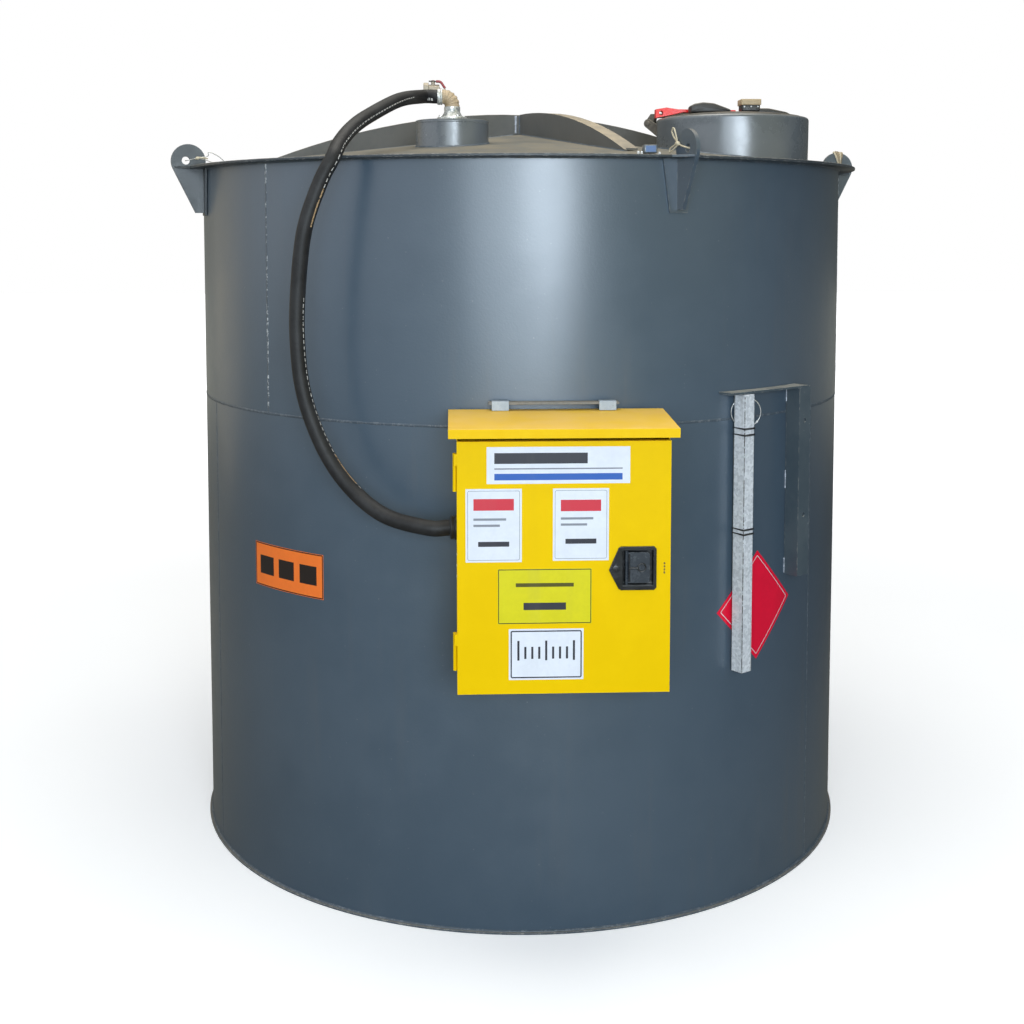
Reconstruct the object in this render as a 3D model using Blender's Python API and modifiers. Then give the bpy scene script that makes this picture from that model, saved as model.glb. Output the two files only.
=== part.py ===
"""Vertical diesel storage tank with a hung dispensing cabinet, metres, +Z up.

The origin is the middle of the round base, on the ground. -Y is the front,
where the yellow cabinet hangs, and +X is the tank's right side. Angles of
things on the wall are degrees round the tank, right of the front.
"""

import math

import bmesh
import bpy
from mathutils import Matrix, Vector

# Clearance kept between touching pieces
GAP = 0.0003

# Base plate and wall
SHELL_RADIUS = 1.085
SHELL_WALL = 0.004
BOTTOM_RADIUS = 1.095
BOTTOM_THICKNESS = 0.006
SEAM_HEIGHT = 1.444
SHELL_TOP = 2.185
LOWER_SEAM_ANGLE = 53.5
UPPER_SEAM_ANGLE = -46.5
PLATES_PER_COURSE = 3
STEPS_PER_PLATE = 32

# Rim
FLANGE_RADIUS = 1.137
FLANGE_THICKNESS = 0.008
RIM_TOP = SHELL_TOP + FLANGE_THICKNESS
RIM_BRIDGE = 0.006
RIM_STEP = 3.75

# Roof cone and its ribs
ROOF_RISE = 0.132
ROOF_WALL = 0.004
ROOF_EDGE = SHELL_RADIUS - 0.001
ROOF_STEPS = 96
ROOF_HOLE = 0.003
RIB_THICKNESS = 0.008
RIB_PEAK = 0.196
RIB_FALL = 0.225
RIB_LEAST = 0.004
RIB_END = 0.862
RIB_STEPS = 14
RIB_FLANGE = 0.046
RIB_FLANGE_SHEET = 0.005
RIB_FLANGE_DROP = 0.0005
RIB_FLANGE_END = 0.848
RIB_DIRECTIONS = (18.0, 108.0, 198.0, 288.0)

# Lifting lugs, each with a tapered pad on the wall and a level gusset
LUG_ANGLES = (-73.0, 21.0, 93.0, 190.0)
LUG_THICKNESS = 0.012
LUG_HEAD_RADIUS = 0.055
LUG_HEAD_AT = 1.138
LUG_HEAD_HEIGHT = 0.016
LUG_EYE_RADIUS = 0.013
LUG_EYE_SHIFT = (0.008, 0.002)
LUG_DROP = 0.150
LUG_FOOT = 0.030
PAD_THICKNESS = 0.006
PAD_TOP_WIDTH = 0.100
PAD_FOOT_WIDTH = 0.056
GUSSET_WIDTH = 0.100
GUSSET_THICKNESS = 0.006
GUSSET_LEVEL = 0.004
GUSSET_TIP = LUG_HEAD_AT + LUG_HEAD_RADIUS - 0.004

# Manhole neck
NECK_CENTRE = (0.691, -0.260)
NECK_RADIUS = 0.250
NECK_WALL = 0.006
NECK_TOP = 2.355
NECK_BOTTOM = 2.150
NECK_SHOULDER = 0.010
NECK_MOUTH = 0.190
NECK_LEDGE = 0.006
NECK_STEPS = 40

# Manhole lid: its low dome, grips, bar and vent
LID_RADIUS = 0.228
LID_CROWN = 0.021
LID_CROWN_RADIUS = 0.222
LID_FALL = 0.016
LID_SHEET = 0.006
LID_RINGS = (0.06, 0.12, 0.17, 0.205)
GRIP_WIDTH = 0.060
LEFT_GRIP_Y = -0.345
LEFT_GRIP = ((0.534, 0.012), (0.534, 0.034), (0.545, 0.041), (0.575, 0.046),
             (0.610, 0.043), (0.665, 0.023), (0.665, 0.014))
RIGHT_GRIP_Y = -0.250
RIGHT_GRIP = ((0.760, 0.014), (0.770, 0.036), (0.810, 0.036), (0.870, 0.024),
              (0.900, 0.008), (0.895, 0.003))
BAR_Y = -0.262
BAR_WIDTH = 0.032
BAR_THICKNESS = 0.008
BAR_HOLE = (0.452, 0.019)
BAR_HOLE_RADIUS = 0.007
VENT_LOW = (0.705, -0.354)
VENT_HIGH = (0.765, -0.294)
VENT_HEIGHT = 0.020
VENT_CAP_LOW = (0.702, -0.357)
VENT_CAP_HIGH = (0.768, -0.291)
VENT_CAP_TOP = 0.038
VENT_EDGE = 0.002

# Manhole hinge
HINGE_DIRECTION = 151.0
HINGE_REACH = 0.288
HINGE_HEIGHT = 2.350
HINGE_PIN_RADIUS = 0.007
HINGE_PIN_HALF = 0.030
HINGE_RUNNING_GAP = 0.0008
HINGE_ARM_LEVEL = 0.0143
HINGE_ARM_THICKNESS = 0.013
HINGE_ARM_WIDTH = 0.030
HINGE_ARM_START = 0.150
KNUCKLE_RADIUS = 0.016
EAR_RADIUS = 0.015
EAR_THICKNESS = 0.008
EAR_OFFSET = 0.0205
EAR_FOOT = ((0.2499, -0.055), (0.2499, -0.014), (0.268, -0.002))

# Pickup stub and reducer
STUB_CENTRE = (-0.238, -0.486)
STUB_RADIUS = 0.115
STUB_WALL = 0.005
STUB_TOP = 2.328
STUB_BOTTOM = 2.190
STUB_COVER = 0.006
STUB_EDGE = 0.002
REDUCER_HEIGHT = 0.044
REDUCER = ((0.0, 0.044), (0.025, 0.044), (0.025, 0.030), (0.034, 0.018),
           (0.037, 0.013), (0.047, 0.013), (0.047, 0.0), (0.0, 0.0))

# Pickup elbow with its coupling
ELBOW_RADIUS = 0.0235
ELBOW_BEND = 0.028
ELBOW_LEG = 0.003
ELBOW_TAIL = 0.004
COUPLING_RADIUS = 0.0255
COUPLING_START = -0.002
COUPLING_END = 0.014

# Ball valve beside the elbow
VALVE_SIDE = 0.0350
VALVE_LIFT = 0.0265
VALVE_START = 0.040
VALVE_LENGTH = 0.0495
VALVE_RADIUS = 0.0165
VALVE_NUT_RADIUS = 0.021
VALVE_NUT = (0.034, 0.050)
VALVE_INLET_AT = 0.046
VALVE_INLET_RADIUS = 0.010
VALVE_INLET_START = 0.0260
VALVE_STEM_AT = 0.060
VALVE_STEM_RADIUS = 0.006
VALVE_STEM_HEIGHT = 0.0235
LEVER_THICKNESS = 0.004
LEVER_REACH = 0.033
LEVER_END = 0.008
LEVER_EDGE = ((-0.013, 0.010), (0.012, 0.011), (0.033, 0.008))

# Cabinet
CABINET_LEFT = -0.230
CABINET_RIGHT = 0.322
CABINET_BOTTOM = 0.785
CABINET_BACK = -(SHELL_RADIUS + GAP)
CABINET_FRONT = -1.330
SHEET = 0.002
ROOF_LEFT = -0.252
ROOF_RIGHT = 0.341
ROOF_FRONT = -1.380
ROOF_BACK_TOP = 1.496
ROOF_FRONT_TOP = 1.482
LIP_DROP = 0.024
HEADER_LIFT = 0.004

# Hanger behind the cabinet's roof
HANGER_LEFT = -0.142
HANGER_RIGHT = 0.216
HANGER_LOW = 1.512
HANGER_HEIGHT = 0.006
HANGER_FRONT = -1.116
STRAP_CENTRES = (("hanger_strap_left", -0.110), ("hanger_strap_right", 0.184))
STRAP_WIDTH = 0.047
STRAP_THICKNESS = 0.0029
STRAP_TOP = 1.5215
STRAP_BACK = -1.0950

# Door and its hinge barrels
DOOR_SETBACK = 0.005
DOOR_THICKNESS = 0.020
DOOR_TOP = 1.447
DOOR_LIFT = 0.002
BARREL_HEIGHTS = (("lower_barrel", 0.880), ("upper_barrel", 1.350))
BARREL_RADIUS = 0.0055
BARREL_HALF = 0.035
KNUCKLE_TOP = 0.065
BARREL_OUT = 0.0052
BARREL_BACK = 0.0025
TONGUE_HALF = 0.002

# Latch let into the door, as (x, z) outlines seen from the front
LATCH_HOLE = ((0.1935, 1.0675), (0.2805, 1.1665))
LATCH_TRAY = ((0.1940, 1.0680), (0.2800, 1.1660))
LATCH_POCKET = ((0.1975, 1.0715), (0.2765, 1.1625))
LATCH_TRAY_DEPTH = 0.0165
LATCH_POCKET_DEPTH = 0.0145
BEZEL_THICKNESS = 0.006
BEZEL = ((0.1615, 1.1118), (0.1645, 1.1050), (0.1865, 1.0620), (0.1930, 1.0584),
         (0.2790, 1.0584), (0.2850, 1.0650), (0.2850, 1.1665), (0.2790, 1.1730),
         (0.1930, 1.1730), (0.1865, 1.1690), (0.1645, 1.1186))
PADDLE_AXIS = 0.2075
PADDLE_SINK = 0.001
PADDLE_THICKNESS = 0.004
PADDLE = ((0.000, 1.0770), (0.055, 1.0770), (0.060, 1.0820), (0.060, 1.1520),
          (0.055, 1.1570), (0.000, 1.1570))
PADDLE_ROD_RADIUS = 0.0045
PADDLE_ROD = (1.0720, 1.1620)

# Hose over the rim, down the wall and into the cabinet's side
HOSE_RADIUS = 0.0215
HOSE_SPACING = 0.045
HOSE_STRAIGHT = 0.040
GLAND_AT = (-1.180, 1.188)
GLAND_RADIUS = 0.034
GLAND_LENGTH = 0.018
HOSE_KNOTS = (
    (-0.400, -0.660, 2.375), (-0.484, -0.840, 2.310), (-0.524, -0.920, 2.269),
    (-0.549, -0.985, 2.228), (-0.558, -1.021, 2.203), (-0.568, -1.040, 2.177),
    (-0.600, -1.050, 2.112), (-0.643, -1.050, 1.985), (-0.664, -1.035, 1.816),
    (-0.667, -1.030, 1.674), (-0.650, -1.035, 1.533), (-0.600, -1.050, 1.394),
    (-0.528, -1.080, 1.288), (-0.429, -1.130, 1.214),
)

# Angle iron bracket on the wall, and the two angles nested over its left leg
BRACKET_ANGLE = 36.5
BRACKET_FRONT = 1.125
BRACKET_TOP = 1.525
BRACKET_FOOT = 0.950
BRACKET_LEFT = 0.146
BRACKET_RIGHT = 0.195
BRACKET_SHELF = 0.006
BRACKET_STEPS = 12
LEFT_LEG_AT = -0.0909
RIGHT_LEG_AT = 0.153
LEFT_LEG_WIDTH = 0.035
RIGHT_LEG_WIDTH = 0.050
LEG_SHEET = 0.005
LEG_SETBACK = 0.0005
ANGLE_WIDTH = 0.040
ANGLE_SHEET = 0.004
ANGLE_ENDS = ((0.716, 1.517), (0.706, 1.515))

# Small flat box on the roof just behind the rim
GAUGE_BOX = ((0.298, -0.980, 2.2026), (0.336, -0.930, 2.2255))
GAUGE_BOX_EDGE = 0.002

COLLECTION = "storage_tank"
SMOOTH_ANGLE = 35.0


# Materials

def material(name, colour, roughness, metallic=0.0):
    """Make one plain finish."""
    made = bpy.data.materials.new(name)
    made.use_nodes = True
    shader = made.node_tree.nodes["Principled BSDF"]
    shader.inputs["Base Color"].default_value = (*colour, 1.0)
    shader.inputs["Roughness"].default_value = roughness
    shader.inputs["Metallic"].default_value = metallic
    made.diffuse_color = (*colour, 1.0)
    return made


# Building blocks

def collection(name):
    """Return the named collection, made on first use."""
    found = bpy.data.collections.get(name)
    if found is None:
        found = bpy.data.collections.new(name)
        bpy.context.scene.collection.children.link(found)
    return found


def place(name, mesh, finish, location=(0.0, 0.0, 0.0), turn=0.0):
    """Put a mesh in the tank's collection, turned about its own Z axis."""
    thing = bpy.data.objects.new(name, mesh)
    thing.location = location
    thing.rotation_euler = (0.0, 0.0, turn)
    mesh.materials.append(finish)
    collection(COLLECTION).objects.link(thing)
    return thing


def round_over(mesh):
    """Shade a mesh smooth, with its real edges kept sharp."""
    mesh.shade_smooth()
    mesh.set_sharp_from_angle(angle=math.radians(SMOOTH_ANGLE))


def mesh_from(work, name):
    """Turn a bmesh into a mesh, shaded smooth where it is round."""
    bmesh.ops.recalc_face_normals(work, faces=work.faces)
    mesh = bpy.data.meshes.new(name)
    work.to_mesh(mesh)
    work.free()
    round_over(mesh)
    return mesh


def box_mesh(name, low, high, bevel=0.0):
    """A box between two corners, its edges rounded when bevel is given."""
    work = bmesh.new()
    bmesh.ops.create_cube(work, size=1.0)
    size = Vector(high) - Vector(low)
    middle = (Vector(high) + Vector(low)) / 2
    bmesh.ops.scale(work, vec=size, verts=work.verts)
    bmesh.ops.translate(work, vec=middle, verts=work.verts)
    if bevel > 0.0:
        bmesh.ops.bevel(work, geom=work.edges[:], offset=bevel, segments=2,
                        affect="EDGES", profile=0.5)
    return mesh_from(work, name)


def box(name, finish, low, high, bevel=0.0, location=(0.0, 0.0, 0.0), turn=0.0):
    """Place a box given by two corners in its own frame."""
    return place(name, box_mesh(name, low, high, bevel), finish, location, turn)


def drum_mesh(name, radius, low, high, steps=32, top_radius=None):
    """An upright cylinder or cone."""
    work = bmesh.new()
    top = radius if top_radius is None else top_radius
    bmesh.ops.create_cone(work, cap_ends=True, segments=steps, radius1=radius,
                          radius2=top, depth=high - low)
    bmesh.ops.translate(work, vec=(0.0, 0.0, (low + high) / 2), verts=work.verts)
    return mesh_from(work, name)


def turned(name, finish, profile, steps=48, location=(0.0, 0.0, 0.0)):
    """Turn a profile of (radius, height) points, its outer side top to bottom."""
    mesh = bpy.data.meshes.new(name)
    points = [(radius, 0.0, height) for radius, height in profile]
    closed = profile[0][0] > 0.0
    edges = [(i, i + 1) for i in range(len(points) - 1)]
    if closed:
        edges.append((len(points) - 1, 0))
    mesh.from_pydata(points, edges, [])
    thing = place(name, mesh, finish, location)
    screw = thing.modifiers.new("Turn", "SCREW")
    screw.steps = steps
    screw.render_steps = steps
    screw.use_merge_vertices = True
    screw.merge_threshold = 0.0001
    screw.use_smooth_shade = True
    return thing


def swept_wall(name, finish, top, foot, wall, start, span, steps):
    """A sheet turned part of the way round, its given side facing out."""
    mesh = bpy.data.meshes.new(name)
    mesh.from_pydata([(top[0], 0.0, top[1]), (foot[0], 0.0, foot[1])], [(0, 1)], [])
    thing = place(name, mesh, finish, turn=start)
    screw = thing.modifiers.new("Roll", "SCREW")
    screw.angle = span
    screw.steps = steps
    screw.render_steps = steps
    screw.use_merge_vertices = False
    screw.use_smooth_shade = True
    sheet = thing.modifiers.new("Sheet", "SOLIDIFY")
    sheet.thickness = wall
    sheet.offset = -1.0
    sheet.use_even_offset = True
    return thing


def flat_plate(name, finish, outline, thickness, matrix, holes=()):
    """Cut a plate from flat sheet; matrix carries its middle plane into place."""
    curve = bpy.data.curves.new(name, "CURVE")
    curve.dimensions = "2D"
    curve.fill_mode = "BOTH"
    curve.extrude = thickness / 2
    for ring in (outline, *holes):
        line = curve.splines.new("POLY")
        line.points.add(len(ring) - 1)
        for point, (x, y) in zip(line.points, ring):
            point.co = (x, y, 0.0, 1.0)
        line.use_cyclic_u = True
    return solid_from_curve(name, finish, curve, matrix)


def solid_from_curve(name, finish, curve, matrix=None):
    """Make a curve a closed mesh in its own object."""
    guide = bpy.data.objects.new(name + "_line", curve)
    bpy.context.scene.collection.objects.link(guide)
    seen = guide.evaluated_get(bpy.context.evaluated_depsgraph_get())
    mesh = bpy.data.meshes.new_from_object(seen)
    bpy.data.objects.remove(guide)
    mesh.name = name
    work = bmesh.new()
    work.from_mesh(mesh)
    bmesh.ops.remove_doubles(work, verts=work.verts, dist=0.00001)
    if matrix is not None:
        bmesh.ops.transform(work, matrix=matrix, verts=work.verts)
    bmesh.ops.recalc_face_normals(work, faces=work.faces)
    work.to_mesh(mesh)
    work.free()
    mesh.materials.clear()
    round_over(mesh)
    return place(name, mesh, finish)


def tube(name, finish, points, radius, sides=2):
    """A round bar or hose along points, with filled ends."""
    curve = bpy.data.curves.new(name, "CURVE")
    curve.dimensions = "3D"
    curve.bevel_depth = radius
    curve.bevel_resolution = sides
    curve.use_fill_caps = True
    line = curve.splines.new("POLY")
    line.points.add(len(points) - 1)
    for point, place_at in zip(line.points, points):
        point.co = (*place_at, 1.0)
    return solid_from_curve(name, finish, curve)


def cut(thing, mesh):
    """Take a mesh's shape out of a thing."""
    cutter = bpy.data.objects.new(thing.name + "_cutter", mesh)
    cutter.hide_render = True
    cutter.display_type = "WIRE"
    collection("cutters").objects.link(cutter)
    step = thing.modifiers.new("Cut", "BOOLEAN")
    step.operation = "DIFFERENCE"
    step.object = cutter
    step.solver = "EXACT"
    return cutter


def keep(thing, mesh):
    """Keep only what lies inside a mesh's shape."""
    cutter = cut(thing, mesh)
    thing.modifiers[-1].operation = "INTERSECT"
    return cutter


def join(thing, helper):
    """Weld a helper shape onto a thing."""
    helper.hide_render = True
    helper.display_type = "WIRE"
    collection(COLLECTION).objects.unlink(helper)
    collection("cutters").objects.link(helper)
    step = thing.modifiers.new("Weld", "BOOLEAN")
    step.operation = "UNION"
    step.object = helper
    step.solver = "EXACT"


def weld_on(thing, mesh, location=(0.0, 0.0, 0.0)):
    """Weld a mesh's shape onto a thing."""
    join(thing, place(mesh.name, mesh, thing.data.materials[0], location))


def pivot(name, location, turn=0.0):
    """An empty on a joint's axis."""
    empty = bpy.data.objects.new(name, None)
    empty.empty_display_size = 0.1
    empty.location = location
    empty.rotation_euler = (0.0, 0.0, turn)
    collection(COLLECTION).objects.link(empty)
    return empty


def hang(things, empty):
    """Parent things to a pivot without moving them."""
    at = Matrix.Translation(empty.location) @ Matrix.Rotation(empty.rotation_euler.z, 4, "Z")
    for thing in things:
        thing.parent = empty
        thing.matrix_parent_inverse = at.inverted()


def arc(centre, radius, start, end, count):
    """Points along an arc, in degrees, both ends included."""
    points = []
    for i in range(count + 1):
        angle = math.radians(start + (end - start) * i / count)
        points.append((centre[0] + radius * math.cos(angle), centre[1] + radius * math.sin(angle)))
    return points


def smooth_route(knots, spacing):
    """Points at an even spacing along a smooth curve through the knots."""
    fine = []
    ends = [Vector(knots[0]) * 2 - Vector(knots[1])]
    ends += [Vector(k) for k in knots]
    ends.append(Vector(knots[-1]) * 2 - Vector(knots[-2]))
    for i in range(1, len(ends) - 2):
        a, b, c, d = ends[i - 1:i + 3]
        for k in range(20):
            t = k / 20
            fine.append(0.5 * (2 * b + (c - a) * t + (2 * a - 5 * b + 4 * c - d) * t * t
                               + (3 * b - a - 3 * c + d) * t ** 3))
    fine.append(Vector(knots[-1]))
    length = sum((fine[i + 1] - fine[i]).length for i in range(len(fine) - 1))
    count = max(2, round(length / spacing))
    points = [fine[0]]
    walked = 0.0
    for i in range(len(fine) - 1):
        step = (fine[i + 1] - fine[i]).length
        while len(points) < count and walked + step >= len(points) * length / count:
            share = (len(points) * length / count - walked) / step
            points.append(fine[i].lerp(fine[i + 1], share))
        walked += step
    points.append(fine[-1])
    return points


def round_tank(angle):
    """The turn, in radians from +X, of a place right of the front in degrees."""
    return math.radians(angle - 90.0)


def upright(direction):
    """Stands a flat plate on edge along a direction in degrees from +X."""
    return Matrix.Rotation(math.radians(direction), 4, "Z") @ Matrix.Rotation(math.pi / 2, 4, "X")


def facing_front(y):
    """Stands a flat plate facing the front, its middle plane at y."""
    return Matrix.Translation((0.0, y, 0.0)) @ Matrix.Rotation(math.pi / 2, 4, "X")


def across(x):
    """Stands a plate drawn as (y, z) across the tank, its middle plane at x."""
    on_edge = Matrix(((0, 0, 1, 0), (1, 0, 0, 0), (0, 1, 0, 0), (0, 0, 0, 1)))
    return Matrix.Translation((x, 0.0, 0.0)) @ on_edge


def towards_left(x, y, z):
    """Lays an upright drum along -X, its foot at a point."""
    return Matrix.Translation((x, y, z)) @ Matrix.Rotation(-math.pi / 2, 4, "Y")


# Base plate, wall and rim

def base_and_wall(steel):
    """Bottom plate and the two courses of rolled plates."""
    place("bottom_plate", drum_mesh("bottom_plate", BOTTOM_RADIUS, 0.0, BOTTOM_THICKNESS, 96),
          steel)
    span = 2 * math.pi / PLATES_PER_COURSE
    trim = GAP / SHELL_RADIUS
    courses = (
        ("lower_course", BOTTOM_THICKNESS + GAP, SEAM_HEIGHT, LOWER_SEAM_ANGLE),
        ("upper_course", SEAM_HEIGHT + GAP, SHELL_TOP, UPPER_SEAM_ANGLE),
    )
    for course, foot, top, seam in courses:
        for i in range(PLATES_PER_COURSE):
            swept_wall(f"{course}_{i + 1}", steel, (SHELL_RADIUS, top), (SHELL_RADIUS, foot),
                       SHELL_WALL, round_tank(seam) + i * span, span - trim, STEPS_PER_PLATE)


def rim(steel):
    """Flat ring round the wall's top, slotted for the lifting lugs."""
    half = LUG_THICKNESS / 2 + GAP
    bridge = SHELL_RADIUS + RIM_BRIDGE
    outer = []
    for i, angle in enumerate(LUG_ANGLES):
        span = (LUG_ANGLES[(i + 1) % len(LUG_ANGLES)] - angle) % 360.0
        slot = math.degrees(math.asin(half / FLANGE_RADIUS))
        start = angle - 90.0 + slot
        end = angle - 90.0 + span - slot
        outer += arc((0.0, 0.0), FLANGE_RADIUS, start, end, round(span / RIM_STEP))
        turn = math.radians(angle - 90.0 + span)
        along = Vector((math.cos(turn), math.sin(turn)))
        side = Vector((-math.sin(turn), math.cos(turn)))
        outer += [tuple(along * bridge - side * half), tuple(along * bridge + side * half)]
    inner = arc((0.0, 0.0), SHELL_RADIUS + GAP, 0.0, 360.0 - RIM_STEP, round(360.0 / RIM_STEP) - 1)
    lift = Matrix.Translation((0.0, 0.0, SHELL_TOP + FLANGE_THICKNESS / 2))
    flat_plate("rim_flange", steel, outer, FLANGE_THICKNESS, lift, [inner])


# Roof

def roof_height(radius):
    """Height of the cone's upper side at a distance from the tank's axis."""
    return SHELL_TOP + GAP + ROOF_WALL + ROOF_RISE * (1.0 - radius / SHELL_RADIUS)


def roof(steel):
    """Four cone plates, holed for the neck and the stub, and their upright ribs."""
    cone = [(ROOF_HOLE, roof_height(ROOF_HOLE)), (ROOF_EDGE, roof_height(ROOF_EDGE)),
            (ROOF_EDGE, roof_height(ROOF_EDGE) - ROOF_WALL),
            (ROOF_HOLE, roof_height(ROOF_HOLE) - ROOF_WALL)]
    plates = []
    for i, direction in enumerate(RIB_DIRECTIONS):
        plate = turned(f"roof_plate_{i + 1}", steel, cone, ROOF_STEPS)
        quarter = box_mesh("quarter", (GAP / 2, GAP / 2, 2.0), (1.2, 1.2, 2.5))
        keep(plate, quarter).rotation_euler = (0.0, 0.0, math.radians(direction))
        plates.append(plate)
    neck_hole = drum_mesh("neck_hole", NECK_RADIUS + GAP, 2.0, 2.5, 64)
    cut(plates[3], neck_hole).location = (*NECK_CENTRE, 0.0)
    stub_hole = drum_mesh("stub_hole", STUB_RADIUS + GAP, 2.0, 2.5, 48)
    cut(plates[2], stub_hole).location = (*STUB_CENTRE, 0.0)

    long_rib = rib_outline(0.0)
    long_rib += [(-x, z) for x, z in reversed(long_rib[1:])]
    short_rib = rib_outline(RIB_THICKNESS / 2 + GAP)
    short_rib.append((short_rib[0][0], RIM_TOP + RIB_PEAK))
    for name, outline, direction in (("roof_rib_long", long_rib, RIB_DIRECTIONS[0]),
                                     ("roof_rib_front", short_rib, RIB_DIRECTIONS[3]),
                                     ("roof_rib_back", short_rib, RIB_DIRECTIONS[1])):
        rib = flat_plate(name, steel, outline, RIB_THICKNESS, upright(direction))
        if outline is short_rib:
            beside = upright(direction) @ Matrix.Translation((0.0, 0.0, -RIB_FLANGE / 2))
            join(rib, flat_plate(name + "_flange", steel, flange_outline(), RIB_FLANGE, beside))


def rib_height(radius):
    """Height of a rib's arched top at a distance from the tank's axis."""
    return RIM_TOP + RIB_PEAK - RIB_FALL * radius * radius


def flange_outline():
    """Side view of the strip that is folded over along a short rib's top."""
    start = RIB_THICKNESS / 2 + GAP + 0.001
    radii = [start + (RIB_FLANGE_END - start) * i / RIB_STEPS for i in range(RIB_STEPS + 1)]
    upper = [(radius, rib_height(radius) - RIB_FLANGE_DROP) for radius in radii]
    return upper[::-1] + [(radius, z - RIB_FLANGE_SHEET) for radius, z in upper]


def rib_outline(start):
    """One side of a rib from its inner end: foot along the cone, then the arched top."""
    outline = [(start, roof_height(start) + GAP), (RIB_END, roof_height(RIB_END) + GAP)]
    for i in range(RIB_STEPS):
        radius = RIB_END + (start - RIB_END) * i / RIB_STEPS
        outline.append((radius, max(rib_height(radius), roof_height(radius) + RIB_LEAST)))
    return outline


# Lifting lugs

def lifting_lugs(steel):
    """Eye plates through the rim, each with its gusset and its pad on the wall."""
    inner = SHELL_RADIUS + PAD_THICKNESS / 2
    slot = SHELL_RADIUS + RIM_BRIDGE + GAP
    foot = RIM_TOP - LUG_DROP
    centre = (LUG_HEAD_AT, RIM_TOP + LUG_HEAD_HEIGHT)
    outline = arc(centre, LUG_HEAD_RADIUS, -25.0, 196.0, 20) + [
        (SHELL_RADIUS + GAP, RIM_TOP + GAP), (slot, RIM_TOP + GAP), (slot, SHELL_TOP - GAP),
        (inner, SHELL_TOP - GAP), (inner, foot), (inner + LUG_FOOT, foot),
    ]
    eye = arc((centre[0] + LUG_EYE_SHIFT[0], centre[1] + LUG_EYE_SHIFT[1]), LUG_EYE_RADIUS,
              0.0, 345.0, 15)
    gusset = [(FLANGE_RADIUS + GAP, -GUSSET_WIDTH / 2), (GUSSET_TIP, 0.0),
              (FLANGE_RADIUS + GAP, GUSSET_WIDTH / 2)]
    pad = [(-PAD_TOP_WIDTH / 2, 0.0), (-PAD_FOOT_WIDTH / 2, -LUG_DROP),
           (PAD_FOOT_WIDTH / 2, -LUG_DROP), (PAD_TOP_WIDTH / 2, 0.0)]
    for i, angle in enumerate(LUG_ANGLES):
        lug = flat_plate(f"lifting_lug_{i + 1}", steel, outline, LUG_THICKNESS,
                         upright(angle - 90.0), [eye])
        level = (Matrix.Rotation(round_tank(angle), 4, "Z")
                 @ Matrix.Translation((0.0, 0.0, SHELL_TOP + GUSSET_LEVEL)))
        join(lug, flat_plate(f"lug_gusset_{i + 1}", steel, gusset, GUSSET_THICKNESS, level))
        face = (Matrix.Rotation(math.radians(angle), 4, "Z")
                @ Matrix.Translation((0.0, -(SHELL_RADIUS + GAP + PAD_THICKNESS / 2),
                                      SHELL_TOP - GAP))
                @ Matrix.Rotation(math.pi / 2, 4, "X"))
        join(lug, flat_plate(f"lug_pad_{i + 1}", steel, pad, PAD_THICKNESS, face))


# Manhole

def lid_height(radius):
    """Height of the lid's low dome at a distance from its middle."""
    return NECK_TOP + LID_CROWN - LID_FALL * (radius / LID_CROWN_RADIUS) ** 2


def manhole(steel, black, red, tan):
    """Neck through the roof and the hinged lid with its bar, vent and hinge."""
    turned("manhole_neck", steel, [
        (NECK_MOUTH, NECK_TOP), (NECK_RADIUS - NECK_SHOULDER, NECK_TOP),
        (NECK_RADIUS - 0.003, NECK_TOP - 0.003), (NECK_RADIUS, NECK_TOP - NECK_SHOULDER),
        (NECK_RADIUS, NECK_BOTTOM), (NECK_RADIUS - NECK_WALL, NECK_BOTTOM),
        (NECK_RADIUS - NECK_WALL, NECK_TOP - 2 * NECK_LEDGE),
        (NECK_RADIUS - 2 * NECK_WALL, NECK_TOP - NECK_LEDGE), (NECK_MOUTH, NECK_TOP - NECK_LEDGE),
    ], NECK_STEPS, (*NECK_CENTRE, 0.0))
    lid = manhole_lid(black)
    bar = lid_bar(red)
    low = (lid_height(0.0) + lid_height(LID_RINGS[0])) / 2 + GAP
    vent = box("lid_vent", black, (*VENT_LOW, low), (*VENT_HIGH, low + VENT_HEIGHT), VENT_EDGE)
    join(vent, box("vent_cap_shape", tan, (*VENT_CAP_LOW, low + VENT_HEIGHT - 0.001),
                   (*VENT_CAP_HIGH, low + VENT_CAP_TOP), VENT_EDGE))
    manhole_hinge(steel, black, (lid, bar, vent))


def manhole_lid(black):
    """Low domed lid with two moulded grips on it."""
    last = LID_RINGS[-1]
    middle = LID_RINGS[1]
    dome = [(0.0, lid_height(0.0))]
    dome += [(r, lid_height(r)) for r in LID_RINGS]
    dome += [(LID_CROWN_RADIUS, lid_height(LID_CROWN_RADIUS)), (LID_RADIUS, NECK_TOP + 0.003),
             (LID_RADIUS, NECK_TOP + GAP), (LID_RADIUS - 0.014, NECK_TOP + GAP),
             (last, lid_height(last) - 0.005), (middle, lid_height(middle) - LID_SHEET),
             (0.0, lid_height(0.0) - LID_SHEET)]
    lid = turned("manhole_lid", black, dome, NECK_STEPS, (*NECK_CENTRE, 0.0))
    for name, side, y in (("left_grip_shape", LEFT_GRIP, LEFT_GRIP_Y),
                          ("right_grip_shape", RIGHT_GRIP, RIGHT_GRIP_Y)):
        outline = [(x, NECK_TOP + z) for x, z in side]
        grip = flat_plate(name, black, outline, GRIP_WIDTH, facing_front(y))
        grip.data.transform(Matrix.Translation((-NECK_CENTRE[0], -NECK_CENTRE[1], 0.0)))
        grip.location = (*NECK_CENTRE, 0.0)
        join(lid, grip)
    return lid


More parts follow.
